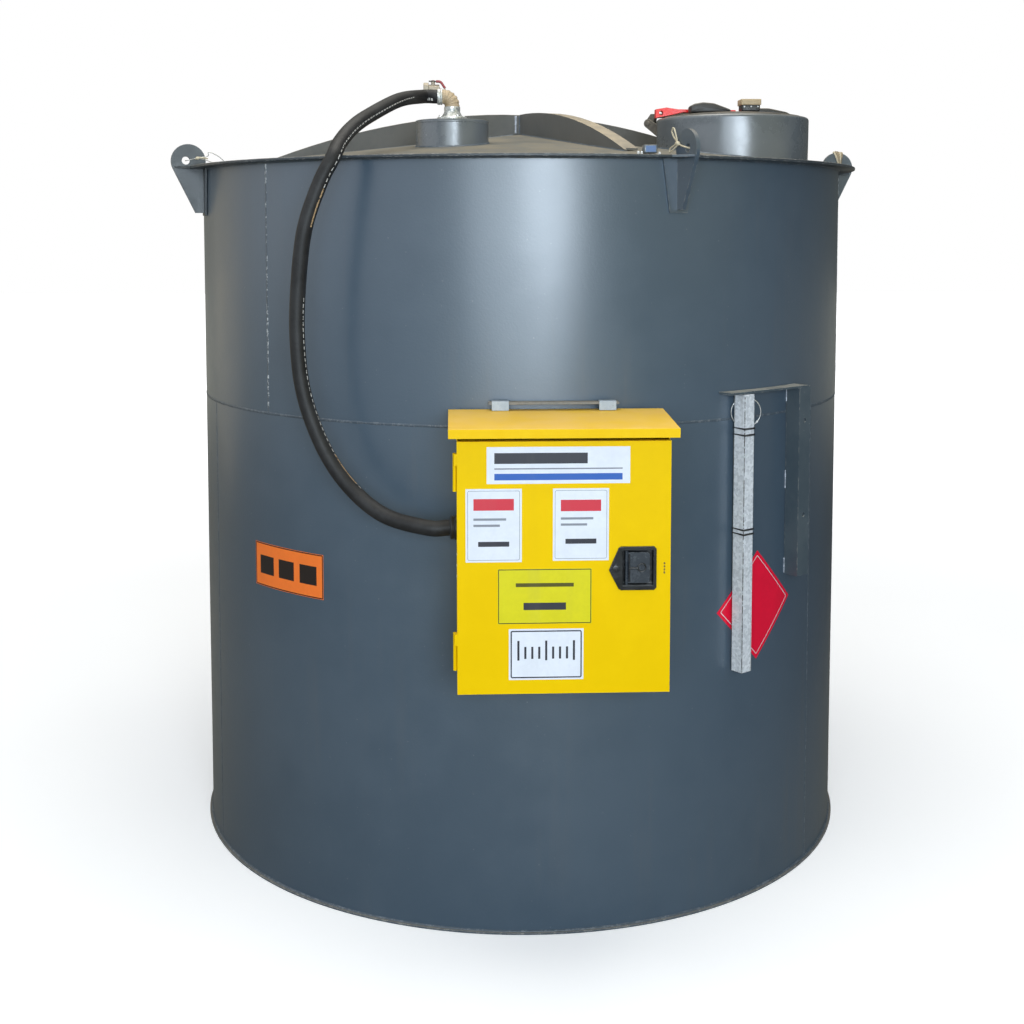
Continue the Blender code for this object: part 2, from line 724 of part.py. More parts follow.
def lid_bar(red):
    """Cranked flat bar along the lid, holed at its end for a padlock."""
    low = lid_height(0.0) + GAP
    outline = [
        (0.434, NECK_TOP + 0.003), (0.470, NECK_TOP + 0.009), (0.525, low), (0.700, low),
        (0.700, low + BAR_THICKNESS), (0.508, low + 0.010), (0.470, NECK_TOP + 0.037),
        (0.434, NECK_TOP + 0.031),
    ]
    hole = arc((BAR_HOLE[0], NECK_TOP + BAR_HOLE[1]), BAR_HOLE_RADIUS, 0.0, 330.0, 11)
    return flat_plate("lid_bar", red, outline, BAR_WIDTH, facing_front(BAR_Y), [hole])


def manhole_hinge(steel, black, lid_parts):
    """Arm on the lid, ears and pin on the neck, and the pivot that carries the lid."""
    turn = math.radians(HINGE_DIRECTION)
    at = (NECK_CENTRE[0] + HINGE_REACH * math.cos(turn),
          NECK_CENTRE[1] + HINGE_REACH * math.sin(turn), HINGE_HEIGHT)
    outward = Matrix.Translation((*NECK_CENTRE, 0.0)) @ upright(HINGE_DIRECTION)
    knuckle = (HINGE_REACH, HINGE_HEIGHT)
    low = NECK_TOP + HINGE_ARM_LEVEL
    high = low + HINGE_ARM_THICKNESS
    outline = [(HINGE_ARM_START, low), (HINGE_ARM_START, high), (0.282, high)]
    outline += arc(knuckle, KNUCKLE_RADIUS, 60.0, -160.0, 14) + [(0.270, low)]
    bore = arc(knuckle, HINGE_PIN_RADIUS + HINGE_RUNNING_GAP, 0.0, 345.0, 23)
    arm = flat_plate("lid_hinge_arm", black, outline, HINGE_ARM_WIDTH, outward, [bore])
    pin = drum_mesh("lid_hinge", HINGE_PIN_RADIUS, -HINGE_PIN_HALF, HINGE_PIN_HALF, 24)
    pin.transform(Matrix.Translation(at) @ upright(HINGE_DIRECTION))
    hinge = place("lid_hinge", pin, steel)
    ear = [(x, NECK_TOP + z) for x, z in EAR_FOOT] + arc(knuckle, EAR_RADIUS, 100.0, -60.0, 12)
    for name, side in (("left_ear_shape", EAR_OFFSET), ("right_ear_shape", -EAR_OFFSET)):
        shift = Matrix.Translation((0.0, 0.0, side))
        join(hinge, flat_plate(name, steel, ear, EAR_THICKNESS, outward @ shift))
    hang((*lid_parts, arm), pivot("manhole_lid_axis", at, turn))


# Pickup on the roof and its hose

def pickup(steel, zinc, red):
    """Stub in the roof, reducer, elbow and ball valve; returns where the hose starts."""
    x, y = STUB_CENTRE
    inside = STUB_RADIUS - STUB_WALL
    turned("pickup_stub", steel, [
        (0.0, STUB_TOP), (STUB_RADIUS - STUB_EDGE, STUB_TOP), (STUB_RADIUS, STUB_TOP - STUB_EDGE),
        (STUB_RADIUS, STUB_BOTTOM), (inside, STUB_BOTTOM), (inside, STUB_TOP - STUB_COVER),
        (0.0, STUB_TOP - STUB_COVER),
    ], 32, (x, y, 0.0))
    low = STUB_TOP + GAP
    turned("pickup_reducer", zinc, [(r, low + z) for r, z in REDUCER], 32, (x, y, 0.0))

    start = low + REDUCER_HEIGHT + GAP
    bend_at = start + ELBOW_LEG
    level = bend_at + ELBOW_BEND
    path = [(x, y, start)]
    path += [(px, y, pz) for px, pz in arc((x - ELBOW_BEND, bend_at), ELBOW_BEND, 0.0, 90.0, 8)]
    path.append((x - ELBOW_BEND - ELBOW_TAIL, y, level))
    elbow = tube("pickup_elbow", zinc, path, ELBOW_RADIUS, 4)
    tail = x - ELBOW_BEND - ELBOW_TAIL - GAP
    collar = drum_mesh("coupling_shape", COUPLING_RADIUS, COUPLING_START, COUPLING_END, 24)
    collar.transform(towards_left(tail, y, level))
    weld_on(elbow, collar)
    ball_valve(zinc, red, x, y, level)
    return Vector((tail - COUPLING_END - GAP, y, level))


def ball_valve(zinc, red, x, y, level):
    """Small ball valve beside the elbow, its inlet, stem and turning lever."""
    valve_y = y + VALVE_SIDE
    valve_z = level + VALVE_LIFT
    along = towards_left(x - VALVE_START, valve_y, valve_z)
    body = drum_mesh("pickup_valve", VALVE_RADIUS, 0.0, VALVE_LENGTH, 24)
    body.transform(along)
    valve = place("pickup_valve", body, zinc)
    nut = drum_mesh("valve_nut_shape", VALVE_NUT_RADIUS, *VALVE_NUT, 6)
    nut.transform(along)
    weld_on(valve, nut)
    apart = Vector((0.0, VALVE_SIDE, VALVE_LIFT))
    inlet = drum_mesh("valve_inlet_shape", VALVE_INLET_RADIUS, VALVE_INLET_START, apart.length, 16)
    inlet.transform(Matrix.Translation((x - VALVE_INLET_AT, y, level))
                    @ apart.to_track_quat("Z", "Y").to_matrix().to_4x4())
    weld_on(valve, inlet)
    stem_at = (x - VALVE_STEM_AT, valve_y, 0.0)
    stem_top = valve_z + VALVE_STEM_HEIGHT
    weld_on(valve, drum_mesh("valve_stem_shape", VALVE_STEM_RADIUS, valve_z, stem_top, 16), stem_at)

    grip = [(px, -py) for px, py in LEVER_EDGE]
    grip += arc((LEVER_REACH, 0.0), LEVER_END, -60.0, 60.0, 6) + list(reversed(LEVER_EDGE))
    lever = flat_plate("valve_lever", red, grip, LEVER_THICKNESS,
                       Matrix.Translation((0.0, 0.0, stem_top + GAP + LEVER_THICKNESS / 2)))
    lever.location = stem_at


def hose(rubber, start):
    """Black hose from the pickup over the rim, down the wall and into the cabinet."""
    gland = drum_mesh("hose_gland", GLAND_RADIUS, 0.0, GLAND_LENGTH, 24)
    gland.transform(towards_left(CABINET_LEFT - GAP, *GLAND_AT))
    place("hose_gland", gland, rubber)
    end = Vector((CABINET_LEFT - 2 * GAP - GLAND_LENGTH, *GLAND_AT))
    knots = [start, start - Vector((0.048, 0.0, 0.0)), *HOSE_KNOTS,
             end - Vector((0.060, 0.0, 0.0)), end]
    route = smooth_route(knots, HOSE_SPACING)
    straight = Vector((HOSE_STRAIGHT, 0.0, 0.0))
    route[1] = start - straight
    route[-2] = end - straight
    tube("fill_hose", rubber, route, HOSE_RADIUS, 2)


# Dispensing cabinet

def cabinet(yellow, pale, black, steel):
    """Sheet steel cabinet on the front: panels, roof, hanger, door and latch."""
    low, high = CABINET_BOTTOM, ROOF_BACK_TOP - SHEET - GAP
    inner_left = CABINET_LEFT + SHEET + GAP
    inner_right = CABINET_RIGHT - SHEET - GAP
    inner_back = CABINET_BACK - SHEET - GAP
    fall = (ROOF_BACK_TOP - ROOF_FRONT_TOP) / (CABINET_BACK - ROOF_FRONT)
    front_high = high + fall * (CABINET_FRONT - CABINET_BACK)
    box("cabinet_back", yellow, (CABINET_LEFT, CABINET_BACK - SHEET, low),
        (CABINET_RIGHT, CABINET_BACK, high))
    side = [(CABINET_FRONT, low), (inner_back, low), (inner_back, high - GAP),
            (CABINET_FRONT, front_high - GAP)]
    left = flat_plate("cabinet_left_side", yellow, side, SHEET, across(CABINET_LEFT + SHEET / 2))
    flat_plate("cabinet_right_side", yellow, side, SHEET, across(CABINET_RIGHT - SHEET / 2))
    box("cabinet_floor", yellow, (inner_left, CABINET_FRONT, low),
        (inner_right, inner_back, low + SHEET))
    box("cabinet_header", yellow, (inner_left, CABINET_FRONT, DOOR_TOP + HEADER_LIFT),
        (inner_right, CABINET_FRONT + SHEET, front_high - 2 * GAP))
    lip = ROOF_FRONT_TOP - LIP_DROP
    profile = [(CABINET_BACK, ROOF_BACK_TOP), (CABINET_BACK, ROOF_BACK_TOP - SHEET),
               (ROOF_FRONT + SHEET, ROOF_FRONT_TOP - SHEET), (ROOF_FRONT + SHEET, lip),
               (ROOF_FRONT, lip), (ROOF_FRONT, ROOF_FRONT_TOP)]
    flat_plate("cabinet_roof", yellow, profile, ROOF_RIGHT - ROOF_LEFT,
               across((ROOF_LEFT + ROOF_RIGHT) / 2))
    hanger(pale, steel)
    door(yellow, black, left)


def hanger(pale, steel):
    """Bar on the wall above the cabinet and the two straps that hook over it."""
    top = HANGER_LOW + HANGER_HEIGHT
    box("hanger_bar", steel, (HANGER_LEFT, HANGER_FRONT, HANGER_LOW),
        (HANGER_RIGHT, CABINET_BACK, top))
    foot = ROOF_BACK_TOP - GAP + 0.0001
    inner = HANGER_FRONT - GAP
    outer = inner - STRAP_THICKNESS
    hook = [(outer, foot), (outer, STRAP_TOP), (STRAP_BACK, STRAP_TOP), (STRAP_BACK, top + GAP),
            (inner, top + GAP), (inner, foot)]
    for name, at in STRAP_CENTRES:
        flat_plate(name, pale, hook, STRAP_WIDTH, across(at))


def pocket_mesh(name, corners, front, back):
    """A box through the door between two (x, z) corners and two depths."""
    (left, low), (right, high) = corners
    return box_mesh(name, (left, front, low), (right, back, high))


def door(yellow, black, left_side):
    """Hinged front door: a folded tray with the black paddle latch let into it."""
    back = CABINET_FRONT - DOOR_SETBACK
    front = back - DOOR_THICKNESS
    low = CABINET_BOTTOM + DOOR_LIFT
    leaf = place("cabinet_door", box_mesh("cabinet_door", (CABINET_LEFT, front, low),
                                          (CABINET_RIGHT, back, DOOR_TOP)), yellow)
    cut(leaf, box_mesh("door_hollow", (CABINET_LEFT + SHEET, front + SHEET, low + SHEET),
                       (CABINET_RIGHT - SHEET, back + 0.01, DOOR_TOP - SHEET)))
    cut(leaf, pocket_mesh("latch_hole", LATCH_HOLE, front - 0.01, front + 0.01))

    plate = flat_plate("latch_plate", black, BEZEL, BEZEL_THICKNESS,
                       facing_front(front - GAP - BEZEL_THICKNESS / 2))
    weld_on(plate, pocket_mesh("latch_tray_shape", LATCH_TRAY, front - 0.004,
                               front + LATCH_TRAY_DEPTH))
    cut(plate, pocket_mesh("latch_pocket", LATCH_POCKET, front - 0.02,
                           front + LATCH_POCKET_DEPTH))
    paddle_at = (PADDLE_AXIS, front - PADDLE_SINK, 0.0)
    flap = flat_plate("latch_paddle", black, PADDLE, PADDLE_THICKNESS, facing_front(0.0))
    flap.location = paddle_at
    weld_on(flap, drum_mesh("paddle_rod_shape", PADDLE_ROD_RADIUS, *PADDLE_ROD, 16), paddle_at)

    hinge_at = (CABINET_LEFT - BARREL_OUT, CABINET_FRONT - BARREL_BACK, 0.0)
    tongue_left = hinge_at[0] - TONGUE_HALF
    for name, height in BARREL_HEIGHTS:
        foot, head = height - BARREL_HALF, height + BARREL_HALF
        weld_on(left_side, drum_mesh(name + "_shape", BARREL_RADIUS, foot, head, 20), hinge_at)
        weld_on(left_side, box_mesh(name + "_tongue", (tongue_left, hinge_at[1], foot),
                                    (CABINET_LEFT + 0.001, CABINET_FRONT + 0.014, head)))
        foot, head = head + GAP, height + KNUCKLE_TOP
        weld_on(leaf, drum_mesh(name + "_knuckle", BARREL_RADIUS, foot, head, 20), hinge_at)
        weld_on(leaf, box_mesh(name + "_strap", (tongue_left, front + SHEET, foot),
                               (CABINET_LEFT - GAP, hinge_at[1], head)))
        weld_on(leaf, box_mesh(name + "_foot", (tongue_left, front + SHEET, foot),
                               (CABINET_LEFT + 0.001, back - 0.001, head)))
    hang((leaf, plate, flap), pivot("cabinet_door_axis", hinge_at))


# Bracket on the wall, and the galvanised angles

def bracket(steel, zinc):
    """Angle iron bracket on the wall, and two angles nested over its left leg."""
    at = Matrix.Rotation(math.radians(BRACKET_ANGLE), 4, "Z")
    wall = SHELL_RADIUS + GAP
    left, right = (math.degrees(math.asin(half / wall)) for half in (BRACKET_LEFT, BRACKET_RIGHT))
    shelf = arc((0.0, 0.0), wall, -90.0 - left, -90.0 + right, BRACKET_STEPS)
    shelf += [(BRACKET_RIGHT, -BRACKET_FRONT), (-BRACKET_LEFT, -BRACKET_FRONT)]
    level = BRACKET_TOP - BRACKET_SHELF / 2
    frame = flat_plate("wall_bracket", steel, shelf, BRACKET_SHELF,
                       at @ Matrix.Translation((0, 0, level)))
    front = -BRACKET_FRONT + LEG_SETBACK
    flange = front + LEG_SHEET
    for name, web, width in (("left_leg_shape", LEFT_LEG_AT, LEFT_LEG_WIDTH),
                             ("right_leg_shape", RIGHT_LEG_AT, RIGHT_LEG_WIDTH)):
        far = max(abs(web), abs(web + LEG_SHEET))
        back = math.sqrt(wall * wall - far * far) + 0.001
        leg = [(web, -back), (web, front), (web + width, front),
               (web + width, flange), (web + LEG_SHEET, flange), (web + LEG_SHEET, -back)]
        join(frame, flat_plate(name, steel, leg, level - BRACKET_FOOT,
                               at @ Matrix.Translation((0, 0, (level + BRACKET_FOOT) / 2))))
    for i, (low, high) in enumerate(ANGLE_ENDS):
        step = (i + 1) * (ANGLE_SHEET + GAP)
        left, ridge = LEFT_LEG_AT - step, -BRACKET_FRONT - step
        angle = [(left, ridge), (left + ANGLE_WIDTH, ridge),
                 (left + ANGLE_WIDTH, ridge + ANGLE_SHEET),
                 (left + ANGLE_SHEET, ridge + ANGLE_SHEET),
                 (left + ANGLE_SHEET, ridge + ANGLE_WIDTH), (left, ridge + ANGLE_WIDTH)]
        flat_plate(f"galvanised_angle_{i + 1}", zinc, angle, high - low,
                   at @ Matrix.Translation((0, 0, (high + low) / 2)))


def main():
    """Clear the scene and build the tank."""
    for thing in list(bpy.data.objects):
        bpy.data.objects.remove(thing)
    steel = material("slate_paint", (0.085, 0.105, 0.125), 0.32)
    yellow = material("yellow_paint", (0.87, 0.62, 0.01), 0.38)
    black = material("black_plastic", (0.02, 0.02, 0.022), 0.45)
    rubber = material("black_rubber", (0.015, 0.015, 0.016), 0.60)
    zinc = material("galvanised", (0.55, 0.56, 0.57), 0.42, 0.9)
    red = material("red_paint", (0.75, 0.03, 0.02), 0.35)
    tan = material("tan_cap", (0.42, 0.31, 0.18), 0.7)
    pale = material("pale_strap", (0.55, 0.58, 0.60), 0.4, 0.3)
    base_and_wall(steel)
    rim(steel)
    roof(steel)
    lifting_lugs(steel)
    manhole(steel, black, red, tan)
    hose(rubber, pickup(steel, zinc, red))
    cabinet(yellow, pale, black, steel)
    bracket(steel, zinc)
    box("gauge_box", steel, *GAUGE_BOX, GAUGE_BOX_EDGE)


main()
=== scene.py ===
"""Dressed model of an upright steel storage tank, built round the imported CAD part.

Metres, +Z up, the origin in the middle of the round base. -Y is the front,
where the yellow cabinet hangs, and +X is the tank's right side. Angles of
things on the wall are degrees round the tank, right of the front.
"""

import logging
import math
from collections.abc import Callable, Sequence
from dataclasses import dataclass, field
from enum import Enum

import bmesh
import bpy
import numpy as np
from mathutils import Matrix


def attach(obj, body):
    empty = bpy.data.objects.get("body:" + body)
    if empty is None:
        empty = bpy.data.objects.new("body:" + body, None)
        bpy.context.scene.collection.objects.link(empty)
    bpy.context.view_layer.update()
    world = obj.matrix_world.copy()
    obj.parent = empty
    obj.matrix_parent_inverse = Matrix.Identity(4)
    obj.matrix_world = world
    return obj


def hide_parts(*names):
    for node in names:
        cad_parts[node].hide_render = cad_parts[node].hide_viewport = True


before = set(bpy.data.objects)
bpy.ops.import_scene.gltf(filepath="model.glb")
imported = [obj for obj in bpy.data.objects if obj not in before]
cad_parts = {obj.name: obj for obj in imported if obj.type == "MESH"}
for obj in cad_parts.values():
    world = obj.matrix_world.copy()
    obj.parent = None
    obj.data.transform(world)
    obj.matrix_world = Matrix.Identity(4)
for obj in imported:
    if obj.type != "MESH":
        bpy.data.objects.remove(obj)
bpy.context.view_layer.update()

LOG = logging.getLogger("storage_tank")

Array = np.ndarray
Colour = tuple[float, float, float]
Point = tuple[float, float, float]
Pair = tuple[float, float]
Inputs = bpy.types.NodeInputs
Socket = bpy.types.NodeSocket
Thing = bpy.types.Object

# Sizes of the CAD part that more than one sub-assembly needs
WALL_RADIUS = 1.085
WALL_SHEET = 0.004
WALL_FOOT = 0.006
SEAM_HEIGHT = 1.444
WALL_TOP = 2.185
RIM_TOP = 2.193
RIM_RADIUS = 1.137
RIB_DIRECTION = math.radians(18.0)
DOOR_FACE = -1.355
MANHOLE_CENTRE = (0.691, -0.260)
PICKUP_CENTRE = (-0.238, -0.486)
UPWARD = (0.0, 0.0, 1.0)
BACKWARD = (0.0, 1.0, 0.0)

# Distance that merges a new mesh's doubles and a CAD copy's, the most that two
# joined flat faces may turn, and the angles that shading and rounding start at
MERGE = 0.000002
CAD_MERGE = 0.00002
FLAT = math.radians(1.0)
SMOOTH = math.radians(38.0)
ROUNDED = math.radians(32.0)


# Flat places and outlines

@dataclass(frozen=True)
class Plane:
    """A flat place in the tank's frame: its origin and its two directions."""

    origin: Point
    across: Point = (1.0, 0.0, 0.0)
    up: Point = UPWARD

    def place(self, points: Array) -> Array:
        """Carry points given as (across, up, out) into the tank's frame."""
        basis = np.array([self.across, self.up, np.cross(self.across, self.up)])
        return np.array(self.origin) + points @ basis


def front_plane(y: float) -> Plane:
    """A plane that faces the front at depth y, its numbers being x, z and out."""
    return Plane((0.0, y, 0.0))


def level_plane(x: float, y: float, z: float) -> Plane:
    """A level plane with its origin at a point, facing up."""
    return Plane((x, y, z), (1.0, 0.0, 0.0), BACKWARD)


def wall_plane(degrees: float, radius: float, height: float = 0.0) -> Plane:
    """A plane that touches a circle round the tank and faces away from it.

    Args:
        degrees: place round the tank, from the front to the right.
        radius: the circle's radius.
        height: level of the plane's origin.

    Returns:
        The plane, its numbers being right, up and out.
    """
    turn = math.radians(degrees)
    return Plane((radius * math.sin(turn), -radius * math.cos(turn), height),
                 (math.cos(turn), math.sin(turn), 0.0))


def rounded_outline(corners: Sequence[Pair] | Array, radius: float,
                    steps: int = 5) -> Array:
    """Round the corners of a flat outline.

    Each corner becomes a quadratic Bezier curve between points a radius away
    along its two sides, with the corner as the middle control point.

    Args:
        corners: (x, y) corners in order, anticlockwise.
        radius: length cut off each side at a corner.
        steps: points on each corner's curve.

    Returns:
        The outline as an (n, 2) array.
    """
    points = np.array(corners, float)
    before, after = np.roll(points, 1, 0) - points, np.roll(points, -1, 0) - points
    size_before = np.linalg.norm(before, axis=1, keepdims=True)
    size_after = np.linalg.norm(after, axis=1, keepdims=True)
    start = points + before / size_before * np.minimum(radius, 0.45 * size_before)
    end = points + after / size_after * np.minimum(radius, 0.45 * size_after)
    t = np.linspace(0.0, 1.0, steps)[None, :, None]
    curve = ((1 - t) ** 2 * start[:, None] + 2 * t * (1 - t) * points[:, None]
             + t ** 2 * end[:, None])
    return curve.reshape(-1, 2)


def rectangle(left: float, low: float, right: float, high: float,
              radius: float = 0.002) -> Array:
    """A rectangle's outline with its corners rounded."""
    return rounded_outline(((left, low), (right, low), (right, high), (left, high)), radius)


def round_turn(count: int) -> Array:
    """Even angles once round, the last one step short of the first."""
    return np.linspace(0.0, 2 * np.pi, count, endpoint=False)


def ring_outline(x: float, y: float, radius: float, count: int = 24) -> Array:
    """A circle's outline round a point."""
    turn = round_turn(count)
    return np.column_stack([x + radius * np.cos(turn), y + radius * np.sin(turn)])


def hexagon(size: float, radius: float, steps: int = 3, start: float = 0.0) -> Array:
    """A hexagon's outline round the origin, its corners rounded.

    Args:
        size: from the middle to a corner.
        radius: length cut off each side at a corner.
        steps: points on each corner's curve.
        start: the first corner's angle in degrees.

    Returns:
        The outline as an (n, 2) array.
    """
    angle = np.radians(np.arange(0, 360, 60) + start)
    return rounded_outline(np.column_stack([size * np.cos(angle), size * np.sin(angle)]),
                           radius, steps)


def level_ring(turn: Array, radius: float | Array, height: float | Array,
               centre: Pair = (0.0, 0.0)) -> Array:
    """Points round an upright axis, each at a turn, a radius and a height."""
    return np.column_stack([centre[0] + radius * np.cos(turn), centre[1] + radius * np.sin(turn),
                            np.broadcast_to(height, turn.shape)])


def outwards(turn: Array, level: float, up: float) -> Array:
    """Unit directions at some turns: a level part away from the axis and a part up."""
    return unit(level_ring(turn, level, up))


def facing_ring(centre: Point, radius: float, count: int) -> Array:
    """Points of a circle that faces the front."""
    return np.insert(ring_outline(centre[0], centre[2], radius, count), 1, centre[1], axis=1)


def unit(vectors: Array) -> Array:
    """Vectors made one long."""
    return vectors / np.linalg.norm(vectors, axis=-1, keepdims=True)


def walked(path: Array) -> Array:
    """Length along a path up to each of its points."""
    return np.concatenate([[0.0], np.cumsum(np.linalg.norm(np.diff(path, axis=0), axis=1))])


def eased(low: float, high: float, edge: float, count: int = 3) -> list[Pair]:
    """(inset, height) steps of a plate whose two rims are quarter circles.

    Args:
        low: height of the foot.
        high: height of the head.
        edge: the quarter's radius.
        count: steps in a quarter.

    Returns:
        The steps from the foot up.
    """
    turn = np.linspace(0.0, np.pi / 2, count + 1)
    foot = [(edge * (1 - math.sin(a)), low + edge * (1 - math.cos(a))) for a in turn]
    head = [(edge * (1 - math.cos(a)), high - edge * (1 - math.sin(a))) for a in turn]
    return foot + head


# Grids of points made into meshes

def grid_faces(rows: int, columns: int, loop_rows: bool, loop_columns: bool) -> Array:
    """Four-sided faces between neighbours of a grid that is counted row by row.

    Args:
        rows: lines of points.
        columns: points in a line.
        loop_rows: True joins the last line to the first.
        loop_columns: True joins each line's ends.

    Returns:
        An (n, 4) array of indices.
    """
    row = np.arange(rows if loop_rows else rows - 1)
    column = np.arange(columns if loop_columns else columns - 1)
    a, b = np.meshgrid(row, column, indexing="ij")
    c, d = (a + 1) % rows, (b + 1) % columns
    return np.stack([a * columns + b, a * columns + d, c * columns + d, c * columns + b],
                    -1).reshape(-1, 4)


def grid_uvs(along: Array, round_it: Array) -> Array:
    """Corner places on the pattern for every face of a grid.

    Args:
        along: length at each row line, one more than the rows of faces.
        round_it: length at each column line, one more than the columns of faces.

    Returns:
        An (n, 2) array, four corners a face, in the order of grid_faces.
    """
    a, b = np.meshgrid(np.arange(len(along) - 1), np.arange(len(round_it) - 1), indexing="ij")
    corners = [(a, b), (a, b + 1), (a + 1, b + 1), (a + 1, b)]
    return np.stack([np.stack([along[i], round_it[j]], -1) for i, j in corners],
                    -2).reshape(-1, 2)


def mesh_thing(name: str, points: Array, faces: Array, uvs: Array | None = None) -> Thing:
    """Make a closed mesh object from arrays of points and faces.

    Args:
        name: the piece's name.
        points: any grid of (x, y, z).
        faces: (n, 4) indices.
        uvs: one place for each face's corner.

    Returns:
        The new object.
    """
    mesh = bpy.data.meshes.new(name)
    mesh.from_pydata(points.reshape(-1, 3).tolist(), [], faces.tolist())
    if uvs is not None:
        layer = mesh.uv_layers.new(name="UVMap")
        layer.data.foreach_set("uv", uvs.astype(np.float32).ravel())
    return linked(name, tidy_mesh(mesh))


def tidy_mesh(mesh: bpy.types.Mesh) -> bpy.types.Mesh:
    """Merge a mesh's doubles, turn its faces outwards and shade it by angle.

    Args:
        mesh: changed in place.

    Returns:
        The same mesh.
    """
    work = bmesh.new()
    work.from_mesh(mesh)
    bmesh.ops.remove_doubles(work, verts=work.verts, dist=MERGE)
    bmesh.ops.recalc_face_normals(work, faces=work.faces)
    work.to_mesh(mesh)
    work.free()
    return shaded(mesh)


def shaded(mesh: bpy.types.Mesh) -> bpy.types.Mesh:
    """Shade a mesh smooth, but sharp where its faces turn far.

    Args:
        mesh: changed in place.

    Returns:
        The same mesh.
    """
    mesh.shade_smooth()
    mesh.set_sharp_from_angle(angle=SMOOTH)
    return mesh


def linked(name: str, data: bpy.types.ID) -> Thing:
    """Put a mesh, a light or a camera in the scene as an object at the origin.

    Args:
        name: the object's name.
        data: what it shows.

    Returns:
        The new object.
    """
    thing = bpy.data.objects.new(name, data)
    bpy.context.scene.collection.objects.link(thing)
    return thing


def slab(name: str, outline: Array, steps: Sequence[Pair],
         plane: Plane) -> Thing:
    """Carry a flat outline through steps of inset and height.

    A point is the outline's point less the inset times the outward normal,
    lifted by the height; each end closes on the outline's middle.

    Args:
        name: the piece's name.
        outline: (n, 2) points, anticlockwise.
        steps: (inset, height) pairs from the foot to the head.
        plane: the flat place that the numbers are given on.

    Returns:
        The new object.
    """
    ahead = unit(np.roll(outline, -1, 0) - np.roll(outline, 1, 0))
    outward = np.column_stack([ahead[:, 1], -ahead[:, 0]])
    inset, height = np.array(steps).T
    flat = outline[None] - inset[:, None, None] * outward[None]
    level = np.broadcast_to(height[:, None, None], (*flat.shape[:2], 1))
    middle = np.broadcast_to(outline.mean(0), (1, len(outline), 2))
    ends = [np.concatenate([middle, np.full((1, len(outline), 1), h)], -1)
            for h in (height[0], height[-1])]
    grid = np.concatenate([ends[0], np.concatenate([flat, level], -1), ends[1]])
    return mesh_thing(name, plane.place(grid), grid_faces(*grid.shape[:2], False, True))


def turned(name: str, profile: Sequence[Pair] | Array, steps: int = 96,
           centre: Pair = (0.0, 0.0),
           swell: Callable[[Array, Array, Array], Array] | None = None) -> Thing:
    """Turn a profile of (radius, height) all the way round an upright axis.

    A point is the centre plus the radius times (cos, sin) of the turn. A swell
    adds to the radius, worked out from the turn, the radius and the height.

    Args:
        name: the piece's name.
        profile: points up the outside; it is closed where it doesn't end on the axis.
        steps: points round the axis.
        centre: the axis's x and y.
        swell: the small unevenness of the form.

    Returns:
        The new object.
    """
    radius, height = np.array(profile, float).T
    turn = round_turn(steps)
    wide = np.broadcast_to(radius, (steps, len(radius)))
    if swell is not None:
        wide = wide + swell(turn[:, None], radius[None], height[None])
    grid = np.stack([centre[0] + wide * np.cos(turn)[:, None],
                     centre[1] + wide * np.sin(turn)[:, None],
                     np.broadcast_to(height, wide.shape)], -1)
    closed = radius[0] > 0.0 and radius[-1] > 0.0
    return mesh_thing(name, grid, grid_faces(steps, len(radius), True, closed))


def directions(path: Array, closed: bool = False) -> Array:
    """Unit directions along a path of points.

    Args:
        path: the points.
        closed: True where the last point meets the first.

    Returns:
        A direction for each point.
    """
    if closed:
        ahead = np.roll(path, -1, 0) - np.roll(path, 1, 0)
    else:
        ahead = np.gradient(path, axis=0)
    return unit(ahead)


def smooth_path(knots: Array, steps: int) -> Array:
    """Points along the smooth curve through some knots.

    Each span between two knots is a cubic of the four knots round it, with
    the ends mirrored, taken at even values of its parameter.

    Args:
        knots: (n, 3) points that the curve passes through.
        steps: points on each span.

    Returns:
        The curve's points, the last knot among them.
    """
    knots = np.concatenate([[2 * knots[0] - knots[1]], knots, [2 * knots[-1] - knots[-2]]])
    a, b, c, d = (knots[i:len(knots) - 3 + i, None] for i in range(4))
    t = np.linspace(0.0, 1.0, steps, endpoint=False)[None, :, None]
    curve = 0.5 * (2 * b + (c - a) * t + (2 * a - 5 * b + 4 * c - d) * t ** 2
                   + (3 * b - a - 3 * c + d) * t ** 3)
    return np.concatenate([curve.reshape(-1, 3), knots[-2:-1]])


def knob(name: str, centre: Sequence[float], way: Sequence[float], half: float, size: float,
         power: float = 2.0) -> Thing:
    """A round lump along a direction.

    Its radius falls from the middle as (1 - |t| ** power) ** (1 / power), t
    being -1 and 1 at the two ends: 2 makes an ellipsoid, more a plump barrel.

    Args:
        name: the piece's name.
        centre: its middle.
        way: unit direction of its axis.
        half: half its length.
        size: its largest radius.
        power: how square its ends are.

    Returns:
        The new object.
    """
    t = np.linspace(-0.985, 0.985, 13)
    path = np.array(centre) + half * t[:, None] * np.array(way)
    hint = UPWARD if abs(way[2]) < 0.7 else BACKWARD
    return tube(name, path, size * (1.0 - np.abs(t) ** power) ** (1.0 / power), 16, hint=hint)


